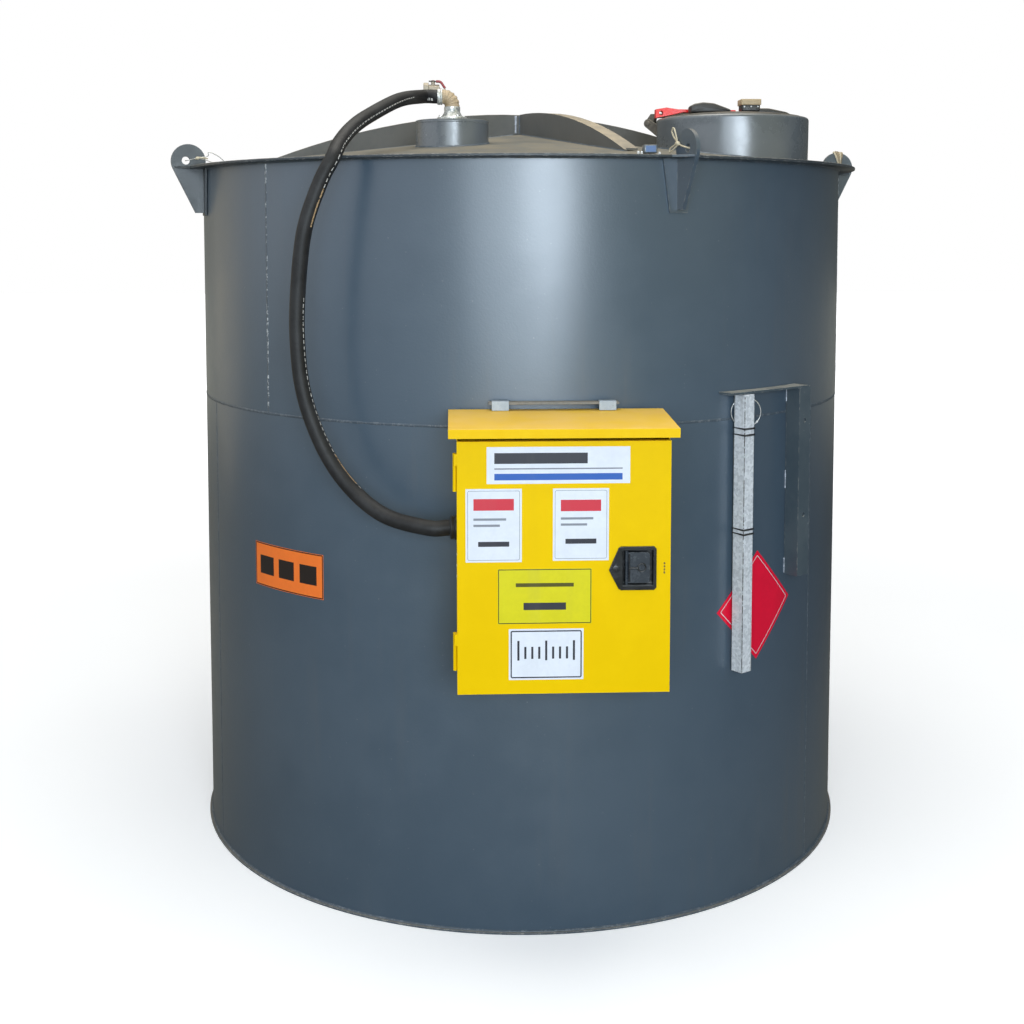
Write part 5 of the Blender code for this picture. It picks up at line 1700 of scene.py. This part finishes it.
@dataclass
class Pickup(RoofFitting):
    """Stub in the roof, reducer, elbow, coupling and the small ball valve."""

    centre: Pair = PICKUP_CENTRE
    stub_top: float = 2.328
    stub_radius: float = 0.115
    level: float = 2.4036
    pin_x: float = -0.298
    valve_y: float = -0.451
    valve_z: float = 2.4301

    def build(self) -> None:
        """Build and dress the pieces."""
        self.stub()
        self.reducer()
        self.elbow()
        self.valve()
        self.lever()

    def stub(self) -> None:
        """Capped stub with a turned flange line and a gasket."""
        r, top = self.stub_radius, self.stub_top
        profile = [(0.0, top), (r - 0.003, top), (r - 0.0008, top - 0.0008), (r, top - 0.003),
                   (r, top - 0.009), (r - 0.0012, top - 0.0105), (r - 0.0012, 2.1925),
                   (r - 0.005, 2.1925), (r - 0.005, top - 0.006), (0.0, top - 0.006)]
        # The stub wears the lighter slate copy: painted light.
        self.fit(turned("stub", profile, 128, self.centre), SLATE_PAINTED_SUNLIGHT,
                 replaces=["pickup_stub"])
        self.collar_weld("stub_weld", r, 560, 0.0042, 0.0020, 41)

    def reducer(self) -> None:
        """Flange, gasket and waisted reducer under the elbow."""
        low = self.stub_top + 0.0003
        gasket = [(0.0, low), (0.0478, low), (0.0478, low + 0.0028), (0.0, low + 0.0028)]
        self.fit(turned("gasket", gasket, 96, self.centre), BLACK_TIE, "black_rubber")
        body = [(0.0, 0.0028), (0.0455, 0.0028), (0.047, 0.0042), (0.047, 0.0095),
                (0.0455, 0.011), (0.0345, 0.0115), (0.0325, 0.0135), (0.0300, 0.0180),
                (0.0275, 0.0225), (0.0255, 0.0265), (0.0245, 0.0300), (0.0252, 0.0320),
                (0.0252, 0.0425), (0.0238, 0.044), (0.0, 0.044)]
        profile = [(r, low + z) for r, z in body]
        self.fit(turned("reducer", profile, 96, self.centre), ZINC_BRIGHT, "galvanised",
                 replaces=["pickup_reducer"])
        spots = level_ring(np.radians(25.0 + 90.0 * np.arange(4)), 0.0398, low + 0.011, self.centre)
        for i, spot in enumerate(spots):
            self.fit(slab(f"flange_bolt_{i + 1}", hexagon(0.0062, 0.0006),
                          eased(-0.0004, 0.0058, 0.0009), level_plane(*spot)),
                     STEEL_WIRE, "galvanised")

    def elbow(self) -> None:
        """Banded elbow and its coupling, turned in rings along the bend."""
        x, y = self.centre
        start, bend, foot = 2.3726, 0.028, 2.3756
        turn = np.linspace(0.0, np.pi / 2, 60)
        arc = np.column_stack([x - bend + bend * np.cos(turn), np.full(60, y),
                               foot + bend * np.sin(turn)])
        path = np.concatenate([[(x, y, start)], arc, [(x - bend - 0.004, y, self.level)]])
        radius = 0.0226 + 0.0009 * np.sign(np.sin(2 * np.pi * walked(path) / 0.0085))
        self.fit(tube("elbow", path, radius, 40, hint=BACKWARD), TAN, "galvanised",
                 replaces=["pickup_elbow"])
        sizes = 0.0255 - 0.0014 * np.array([1, 0, 0, 1, 0, 0, 0, 0.4, 1])
        run = np.linspace((-0.2683, y, self.level), (-0.2843, y, self.level), 9)
        self.fit(tube("coupling", run, sizes, 48, hint=BACKWARD), ZINC_BRIGHT, "galvanised")

    def valve(self) -> None:
        """Hexagon body along X with a nut on its end, an inlet and a stem."""
        y, z = self.valve_y, self.valve_z
        for name, size, start, length, corner, node in (
                ("valve_body", 0.0155, 0.278, 0.034, 0.0035, ["pickup_valve"]),
                ("valve_nut", 0.0210, 0.312, 0.0160, 0.0020, [])):
            part = slab(name, hexagon(size, corner, 5, 30.0), eased(0.0, length, 0.0012),
                        Plane((-start, y, z), (0.0, -1.0, 0.0)))
            self.fit(part, BRASS, "galvanised", replaces=node)
        inlet = np.linspace((-0.284, -0.4654, self.level + 0.0156), (-0.284, y, z), 6)
        self.fit(tube("valve_inlet", inlet, 0.0098, 24, hint=(1.0, 0.0, 0.0)), BRASS,
                 "galvanised")
        stem = [(0.0, z), (0.0058, z), (0.0058, 2.4500), (0.0072, 2.4502),
                (0.0072, 2.4532), (0.0, 2.4534)]
        self.fit(turned("valve_stem", stem, 32, (self.pin_x, y)), BRASS, "galvanised")

    def lever(self) -> None:
        """Lever bent down past the valve's end, its thick sleeve and the nut on its pin."""
        top = 2.4563
        for name, half, wide, finish, knots in (
                ("turning_lever", 0.0012, 0.0088, BLACK_TIE,
                 ((-0.3112, 2.4551), (-0.2990, 2.4551), (-0.2850, 2.4549), (-0.2770, 2.4545),
                  (-0.2710, 2.4505), (-0.2655, 2.4425), (-0.2615, 2.4365))),
                ("lever_sleeve", 0.0034, 0.0100, DARK_RED,
                 ((-0.2885, 2.4543), (-0.2830, 2.4543), (-0.2775, 2.4538), (-0.2715, 2.4500),
                  (-0.2662, 2.4420), (-0.2600, 2.4330)))):
            path = smooth_path(np.array([(x, self.valve_y, z) for x, z in knots]), 6)
            lever = swept(name, path, rectangle(-wide, -half, wide, half, 0.8 * half), UPWARD)
            self.fit(lever, finish, "red_paint", "lever",
                     ["valve_lever"] if name == "turning_lever" else ())
        nut = slab("lever_nut", hexagon(0.0056, 0.0006),
                   [(0.0, -0.0008), (0.0, 0.0010), (0.0008, 0.0016)],
                   level_plane(self.pin_x, self.valve_y, top))
        self.fit(nut, DARK_RED, "red_paint", "lever")


@dataclass
class FillHose(SubAssembly):
    """Black hose from the pickup over the rim, down the wall and into the cabinet."""

    radius: float = 0.0215
    start: Point = (-0.2846, -0.486, 2.4036)
    end: Point = (-0.2486, -1.180, 1.188)
    knots: tuple[Point, ...] = (
        (-0.400, -0.660, 2.375), (-0.484, -0.840, 2.310), (-0.524, -0.920, 2.269),
        (-0.549, -0.985, 2.228), (-0.558, -1.021, 2.203), (-0.568, -1.040, 2.177),
        (-0.600, -1.050, 2.112), (-0.643, -1.050, 1.985), (-0.664, -1.035, 1.816),
        (-0.667, -1.030, 1.674), (-0.650, -1.035, 1.533), (-0.600, -1.050, 1.394),
        (-0.528, -1.080, 1.288), (-0.429, -1.130, 1.214))

    def route(self) -> Array:
        """Points along the hose's middle, straight out of both its ends.

        Returns:
            The path as an (n, 3) array.
        """
        start, end = np.array(self.start), np.array(self.end)
        return smooth_path(np.concatenate([[start, start - (0.048, 0.0, 0.0)], self.knots,
                                           [end - (0.060, 0.0, 0.0), end]]), 24)

    def build(self) -> None:
        """Build and dress the pieces."""
        path = self.route()
        hose = tube("hose", path, self.radius, 32)
        self.fit(hose, HOSE, "black_rubber", replaces=["fill_hose"])
        gland = self.gland()

    def gland(self) -> Thing:
        """Ridged rubber grommet where the hose enters the cabinet's side.

        Returns:
            The grommet.
        """
        run = np.array([(x, -1.180, 1.188) for x in (
            -0.2303, -0.2305, -0.2340, -0.2365, -0.2390, -0.2415, -0.2440, -0.2470, -0.2483)])
        size = np.array([0.0335, 0.0340, 0.0340, 0.0300, 0.0300, 0.0315, 0.0315, 0.0290, 0.0250])
        return self.fit(tube("hose_grommet", run, size, 48, hint=BACKWARD), BLACK_TIE,
                        "black_rubber", replaces=["hose_gland"])


# Cabinet

@dataclass
class Cabinet(SubAssembly):
    """Sheet steel cabinet: panels, roof, hanger, door, rivets, latch and its handle."""

    def build(self) -> None:
        """Build and dress the pieces."""
        self.panels()
        self.latch()
        self.handle()
        side = Plane((-0.230, 0.0, 0.0), (0.0, -1.0, 0.0))
        for i, z in enumerate((1.143, 1.114, 1.085)):
            self.fit(slab(f"side_rivet_{i + 1}", ring_outline(1.300, z, 0.0032, 16),
                          eased(-0.0006, 0.0012, 0.0006), side), WHITE_DOT, "yellow_paint")
        # Four dark flush patches on the door: painted shade standing for small slots.
        for i in range(4):
            low = 1.1004 + 0.0080 * i
            outline = rectangle(0.3040, low, 0.3082, low + 0.0052, 0.0012)
            self.fit(slab(f"door_slot_painted_shade_{i + 1}", outline, eased(-0.0004, 0.0004, 0.0003),
                          front_plane(DOOR_FACE)), SLOT_PAINTED_SHADE, "yellow_paint", "door")

    def panels(self) -> None:
        """The box, its roof and door, and the bar and straps that it hangs from."""
        for node, name, edge in (("cabinet_left_side", "left_panel", 0.0007),
                                 ("cabinet_right_side", "right_panel", 0.0007),
                                 ("cabinet_header", "header_panel", 0.0006)):
            self.soften(node, name, edge, YELLOW, "yellow_paint")
        for node in ("cabinet_back", "cabinet_floor"):
            self.dress(node, YELLOW)
        # The roof's paint lifts its top with pale dust that is partly a painted sheen.
        self.soften("cabinet_roof", "sloped_roof", 0.0008, YELLOW_TOP_DUST_AND_SHEEN, "yellow_paint", segments=3)
        self.soften("cabinet_door", "door_leaf", 0.0009, YELLOW, "yellow_paint", "door", 3)
        self.soften("hanger_bar", "wall_bar", 0.0010, DUSTY_BAR)
        for side in ("left", "right"):
            self.soften(f"hanger_strap_{side}", f"{side}_strap", 0.0008, PALE, "pale_strap")

    def latch(self) -> None:
        """Bezel let into the door, its lock boss and the turning paddle."""
        self.soften("latch_plate", "latch_bezel", 0.0014, LATCH_BLACK, "black_plastic", "door", 3)
        self.soften("latch_paddle", "paddle", 0.0009, LATCH_SLATE, "black_plastic", "paddle")
        boss = slab("lock_boss", ring_outline(0.1795, 1.1150, 0.0095, 32),
                    eased(-0.0005, 0.0026, 0.0012), front_plane(-1.361))
        self.fit(boss, LATCH_BLACK, "black_plastic", "door")
        slot = slab("key_slot", rectangle(0.1784, 1.1105, 0.1806, 1.1195, 0.001),
                    eased(-0.0003, 0.0004, 0.0003), front_plane(-1.3636))
        self.fit(slot, BLACK_TIE, "black_plastic", "door")

    def handle(self) -> None:
        """Wire handle on the paddle: an upright rod, a short arm and a ring."""
        x, face, level = 0.2142, -1.3597, 1.1160
        rod = np.linspace((x, face, 1.0805), (x, face, 1.1540), 9)
        arm = np.linspace((x, face, level), (0.2370, face, level), 7)
        ring = facing_ring((0.2468, face, level + 0.0015), 0.0102, 40)
        for name, path, thick, sides in (("handle_rod", rod, 0.0024, 14),
                                         ("handle_arm", arm, 0.0030, 14),
                                         ("handle_ring", ring, 0.0021, 12)):
            self.fit(tube(name, path, thick, sides, path is ring, BACKWARD), LATCH_BLACK,
                     "black_plastic", "paddle")


@dataclass
class Labels(SubAssembly):
    """Wordless stickers on the door and the wall."""

    thickness: float = 0.0004

    def build(self) -> None:
        """Build and dress the pieces."""
        for name, low, high, finish in (
                ("door_strip", (-0.1537, 1.3377), (0.2156, 1.4333), STRIP_LABEL),
                ("door_label_left", (-0.2080, 1.1340), (-0.0634, 1.3251), NOTICE_LABELS[0]),
                ("door_label_right", (0.0167, 1.1366), (0.1613, 1.3251), NOTICE_LABELS[1]),
                ("door_label_yellow", (-0.1253, 0.9713), (0.1174, 1.1160), YELLOW_LABEL),
                ("door_label_low", (-0.0969, 0.8241), (0.0968, 0.9584), SCALE_LABEL)):
            self.flat(name, low, high, finish)
        self.curved("wall_label", -42.6, 8.0, 0.916, 1.048, ORANGE_LABEL)
        self.diamond()

    def flat(self, name: str, low: Pair, high: Pair,
             finish: Label) -> None:
        """A sticker on the door between two (x, z) corners.

        Args:
            name: the piece's name.
            low: left lower corner.
            high: right upper corner.
            finish: what is printed.
        """
        u, v = np.meshgrid(np.linspace(0.0, 1.0, 13), np.linspace(0.0, 1.0, 9))
        x, z = low[0] + u * (high[0] - low[0]), low[1] + v * (high[1] - low[1])
        layers = [np.stack([x, np.full_like(x, y), z], -1)
                  for y in (DOOR_FACE - self.thickness, DOOR_FACE + 0.0001)]
        self.fit(self.leaf(name, *layers, finish.size), finish, "pale_strap", "door")

    def curved(self, name: str, middle: float, half: float, low: float, high: float,
               finish: Label) -> None:
        """A sticker that follows the wall.

        Args:
            name: the piece's name.
            middle: degrees round the tank.
            half: half its width in degrees.
            low: lower edge.
            high: upper edge.
            finish: what is printed.
        """
        u, v = np.meshgrid(np.linspace(0.0, 1.0, 33), np.linspace(0.0, 1.0, 17))
        turn = np.radians(middle - 90.0 + (2 * u - 1) * half)
        height = low + v * (high - low)
        self.fit(self.on_wall(name, turn, height, finish.size), finish, "pale_strap")

    def on_wall(self, name: str, turn: Array, height: Array,
                size: Pair) -> Thing:
        """A closed thin leaf over a grid of turns and heights on the wall.

        Args:
            name: the piece's name.
            turn: grid of angles round the tank, in radians.
            height: the same grid of levels.
            size: width and height for the UV map.

        Returns:
            The new object.
        """
        layers = [np.stack([radius * np.cos(turn), radius * np.sin(turn), height], -1)
                  for radius in (wall_radius(turn, height) + self.thickness,
                                 wall_radius(turn, height) - 0.0002)]
        return self.leaf(name, *layers, size)

    def leaf(self, name: str, face: Array, back: Array, size: Pair) -> Thing:
        """Join a face grid and a back grid into one closed sheet, its UV map in metres.

        Args:
            name: the piece's name.
            face: grid of points in front.
            back: the same grid behind.
            size: width and height for the UV map.

        Returns:
            The new object.
        """
        rows, columns = face.shape[:2]
        order = np.arange(rows * columns).reshape(rows, columns)
        rim = np.concatenate([order[0], order[1:, -1], order[-1, -2::-1], order[-2:0:-1, 0]])
        quads = grid_faces(rows, columns, False, False)
        far = quads[:, ::-1] + rows * columns
        edge = np.stack([rim, np.roll(rim, -1), np.roll(rim, -1) + rows * columns,
                         rim + rows * columns], -1)
        faces = np.concatenate([quads, far, edge])
        u, v = np.meshgrid(*(side * np.linspace(-0.5, 0.5, count)
                             for side, count in zip(size, (columns, rows))))
        places = np.concatenate([np.stack([u, v], -1).reshape(-1, 2)] * 2)
        return mesh_thing(name, np.concatenate([face.reshape(-1, 3), back.reshape(-1, 3)]),
                          faces, places[faces].reshape(-1, 2))

    def diamond(self) -> None:
        """Red diamond on the wall, standing on a corner, with a pale line inside it."""
        middle, height, half = 37.5, 0.8785, 0.1635
        spread = math.degrees(half / WALL_RADIUS)
        u, v = np.meshgrid(*[np.linspace(-1.0, 1.0, 33)] * 2)
        turn = np.radians(middle - 90.0 + (u - v) / 2 * spread)
        self.fit(self.on_wall("wall_diamond", turn, height + (u + v) / 2 * half, RED_LABEL.size),
                 RED_LABEL, "pale_strap")


# Bracket and the gauge box

@dataclass
class WallBracket(SubAssembly):
    """Angle iron bracket on the wall, and the two galvanised angles tied to it."""

    angle: float = 36.5
    hole_x: float = 0.178
    leg_face: float = 1.1225
    hole_heights: Pair = (1.4204, 1.1351)
    tie_heights: tuple[float, ...] = (1.4206, 1.4020, 1.1275, 1.1140)
    tie_outline: tuple[Pair, ...] = (
        (-0.0860, 1.0990), (-0.0537, 1.1175), (-0.0537, 1.1300), (-0.0585, 1.1354),
        (-0.1010, 1.1354), (-0.1010, 1.0915), (-0.0905, 1.0890))
    ring_centre: Point = (0.605, -0.933, 1.464)
    ring_radius: float = 0.043
    stitches: tuple[Pair, ...] = ((1.475, 1.511), (1.212, 1.266), (0.952, 0.998))
    stitch_spot: Pair = (0.1525, 1.0748)
    ridge_spot: Pair = (-0.0993, 1.1334)
    ridge_span: Pair = (0.710, 1.511)

    def build(self) -> None:
        """Build and dress the pieces."""
        iron = softened("wall_bracket", "angle_iron", 0.0)
        for i, height in enumerate(self.hole_heights):
            outline = ring_outline(self.hole_x, height, 0.0065, 20)
            cut(iron, slab(f"hole_{i}", outline, [(0.0, -0.02), (0.0, 0.02)],
                           wall_plane(self.angle, self.leg_face)))
        self.fit(iron, SLATE_IRON, replaces=["wall_bracket"])
        for i, span in enumerate(self.stitches):
            ends, out = self.corner_line(self.stitch_spot, span)
            self.fit(straight_bead(f"stitch_weld_{i + 1}", ends, 30, out, 0.0016, 0.0012, 0.008,
                                   61 + i), BEAD_BARE)
        for i in (1, 2):
            self.soften(f"galvanised_angle_{i}", f"loose_angle_{i}", 0.0007, ZINC, "galvanised")
        # Dark bead down the angles' inside corner: spatter and dirt, and painted shade in the
        # valley.
        ends, out = self.corner_line(self.ridge_spot, self.ridge_span)
        self.fit(straight_bead("corner_line_dirt_and_shade", ends, 400, out, 0.0012, 0.0006, 0.011, 71),
                 CORNER_DIRT_AND_SHADE, "galvanised")
        for i, height in enumerate(self.tie_heights):
            for turn, drop in enumerate((0.0, 0.0030)):
                self.tie(f"black_tie_{i + 1}_{turn + 1}", height, drop)
        self.ring()

    def corner_line(self, spot: Pair, span: Pair) -> tuple[Array, Array]:
        """Two points at a spot on the bracket, and the way that a bead there faces.

        Args:
            spot: how far across and how far out.
            span: the two levels.

        Returns:
            The two points, and the direction out and to the left.
        """
        plane = wall_plane(self.angle, 0.0)
        ends = plane.place(np.array([(spot[0], level, spot[1]) for level in span]))
        return ends, unit(np.cross(plane.across, plane.up) - plane.across)

    def tie(self, name: str, height: float, drop: float) -> None:
        """One wrap of a plastic tie round the angles, dropping towards their ridge.

        Args:
            name: the piece's name.
            height: its level at the wall.
            drop: how far it falls towards the ridge.
        """
        flat = rounded_outline(self.tie_outline, 0.0022, 4)
        outs = [out for _, out in self.tie_outline]
        ridge = (flat[:, 1] - min(outs)) / (max(outs) - min(outs))
        plane = wall_plane(self.angle, 0.0, height)
        path = plane.place(np.column_stack([flat[:, 0], -drop * ridge, flat[:, 1]]))
        self.fit(tube(name, path, 0.0013, 10, True, UPWARD), BLACK_TIE)

    def ring(self) -> None:
        """Steel ring threaded through the angles near their top, with a pale ferrule."""
        x, y, z = self.ring_centre
        path = facing_ring(self.ring_centre, self.ring_radius, 96)
        self.fit(tube("steel_ring", path, 0.0015, 12, True, BACKWARD), STEEL_WIRE, "galvanised")
        at = math.radians(-42.0)
        centre = (x + self.ring_radius * math.cos(at), y, z + self.ring_radius * math.sin(at))
        self.fit(knob("ring_ferrule", centre, (-math.sin(at), 0.0, math.cos(at)), 0.0042, 0.0027,
                      4.0), WHITE_DOT, "galvanised")


@dataclass
class GaugeBox(SubAssembly):
    """Small flat box on the roof just behind the rim, with a blank blue label."""

    def build(self) -> None:
        """Build and dress the pieces."""
        low, high = 2.2026, 2.2255
        box = slab("gauge_case", rectangle(0.298, -0.980, 0.336, -0.930, 0.004),
                   eased(0.0, high - low, 0.0022), level_plane(0.0, 0.0, low))
        self.fit(box, SLATE_EDGED, replaces=["gauge_box"])
        label = slab("gauge_label", rectangle(0.303, low + 0.003, 0.331, high - 0.003, 0.002),
                     [(0.0, -0.0004), (0.0, 0.0005)], front_plane(-0.980))
        self.fit(label, BLUE_LABEL)
        for i, x in enumerate((0.2830, 0.2925, 0.3425)):
            level = float(roof_height(np.hypot(x, -0.972)))
            self.fit(knob(f"white_clip_{i + 1}", (x, -0.972, level + 0.0042), UPWARD, 0.0060,
                          0.0036, 3.0), WHITE_DOT)


# Floor, light and camera

@dataclass(frozen=True)
class FloorTone(Finish):
    """A pale floor to the camera, glowing with the distance, and dim to all else."""

    room_tone: Colour

    def wire(self, graph: Graph, shader: Inputs) -> None:
        """Tell the camera's rays from the others, and near from far.

        Args:
            graph: the material's nodes.
            shader: its shader's inputs.
        """
        here = graph.place()
        rays = graph.add("ShaderNodeLightPath").outputs
        seen, glossy = rays["Is Camera Ray"], rays["Is Glossy Ray"]
        pale = graph.mix(graph.noise(here, 1.5, 3.0), (0.78, 0.78, 0.78), (0.82, 0.82, 0.82))
        right = graph.fade(graph.split(here)[0], 0.6, 3.0)
        unseen = graph.mix(right, (0.24, 0.225, 0.18), (0.07, 0.075, 0.08))
        graph.feed(shader["Base Color"], graph.mix(seen, unseen, pale))
        shader["Roughness"].default_value = 0.9
        away = graph.math("SQRT", graph.dot(here, here))
        glow = graph.product(graph.fade(away, 2.5, 9.0, 0.35, 1.0), seen)
        far = graph.product(graph.fade(away, 5.0, 15.0), glossy)
        graph.feed(shader["Emission Color"], graph.mix(seen, self.room_tone, (1.0, 1.0, 1.0)))
        graph.feed(shader["Emission Strength"], graph.math("MAXIMUM", glow, far))


@dataclass
class Studio:
    """Pale floor, soft lights, the world and the camera at the photo's angle."""

    camera_at: Point = (-0.2416, -4.8408, 1.98)
    yaw: float = math.radians(2.513)
    pitch: float = math.radians(4.297)
    lens: float = 48.396
    shift: float = -0.1719
    floor_half: float = 40.0
    room_tone: Colour = (0.26, 0.26, 0.22)
    room_sides: tuple[tuple[Colour, float, float, Colour], ...] = (
        ((-0.78, -0.63, 0.0), 0.2, 0.9, (1.50, 1.55, 1.60)),
        ((0.50, -0.87, 0.0), 0.3, 0.95, (0.75, 0.71, 0.37)),
        ((0.72, 0.69, 0.0), 0.25, 0.90, (0.095, 0.105, 0.100)))

    def build(self) -> None:
        """Build the studio."""
        self.camera()
        self.floor()
        self.world()
        self.lights()
        bpy.context.scene.view_settings.view_transform = "Standard"

    def camera(self) -> None:
        """The camera that stands where the photograph was taken."""
        data = bpy.data.cameras.new("camera")
        data.lens = self.lens
        data.sensor_width = 36.0
        data.shift_y = self.shift
        camera = linked("camera", data)
        camera.location = self.camera_at
        camera.rotation_euler = (math.pi / 2 - self.pitch, 0.0, -self.yaw)
        bpy.context.scene.camera = camera

    def floor(self) -> None:
        """Wide pale floor."""
        half = self.floor_half
        mesh = bpy.data.meshes.new("floor")
        mesh.from_pydata([(-half, -half, 0.0), (half, -half, 0.0), (half, half, 0.0),
                          (-half, half, 0.0)], [], [(0, 1, 2, 3)])
        mesh.materials.append(FloorTone("pale_floor", self.room_tone).material())
        linked("floor", mesh)

    def world(self) -> None:
        """White to the camera, grey as light, and a room's soft tones in reflections.

        In a reflection a paler tone eases in on the left, a warm one on the
        right and a dark one at the right's back, with the dot product of the
        ray's direction and the tone's own.
        """
        world = bpy.data.worlds.new("studio")
        world.use_nodes = True
        graph = Graph(world.node_tree)
        backdrop = world.node_tree.nodes["Background"]
        rays = graph.add("ShaderNodeLightPath").outputs
        room = self.room_tone
        for way, low, high, tone in self.room_sides:
            share = graph.fade(graph.dot(graph.place("Generated"), way), low, high)
            room = graph.mix(share, room, tone)
        unseen = graph.mix(rays["Is Glossy Ray"], (0.414, 0.432, 0.45), room)
        graph.feed(backdrop.inputs["Color"],
                   graph.mix(rays["Is Camera Ray"], unseen, (1.0, 1.0, 1.0)))
        bpy.context.scene.world = world

    def lights(self) -> None:
        """A wide soft panel behind the camera with a brighter core, a warm side one, one above."""
        for name, place, look, size, power, tint in (
                ("front_light", (-0.25, -7.6, 2.2), (0.0, 0.0, 2.0), (5.0, 3.0), 250.0,
                 (0.74, 0.87, 1.0)),
                ("core_light", (0.72, -7.5, 2.60), (0.0, 0.0, 2.0), (2.0, 2.3), 148.0,
                 (0.77, 0.88, 1.0)),
                ("warm_light", (-5.7, 3.4, 2.2), (0.0, 0.0, 1.3), (3.0, 4.4), 12.0,
                 (1.0, 0.84, 0.60)),
                ("top_light", (0.0, -0.8, 6.5), (0.0, -0.6, 0.0), (4.0, 4.4), 230.0,
                 (1.0, 0.98, 0.92))):
            data = bpy.data.lights.new(name, "AREA")
            data.shape = "ELLIPSE"
            data.size, data.size_y = size
            data.energy = power
            data.color = tint
            light = linked(name, data)
            aim = np.array(look) - np.array(place)
            flat = math.hypot(aim[0], aim[1])
            light.location = place
            light.rotation_euler = (math.atan2(flat, -aim[2]), 0.0,
                                    math.atan2(-aim[0], aim[1]) if flat > 1e-6 else 0.0)


def main() -> None:
    """Build every part of the tank and the studio round it."""
    logging.basicConfig(level=logging.INFO, format="%(message)s")
    Studio().build()
    for part in (FillHose(), TankWall(), ConeRoof(), LiftingLugs(), Manhole(), Pickup(),
                 Cabinet(), Labels(), WallBracket(), GaugeBox()):
        part.build()
        part.report()


if __name__ == "__main__":
    main()
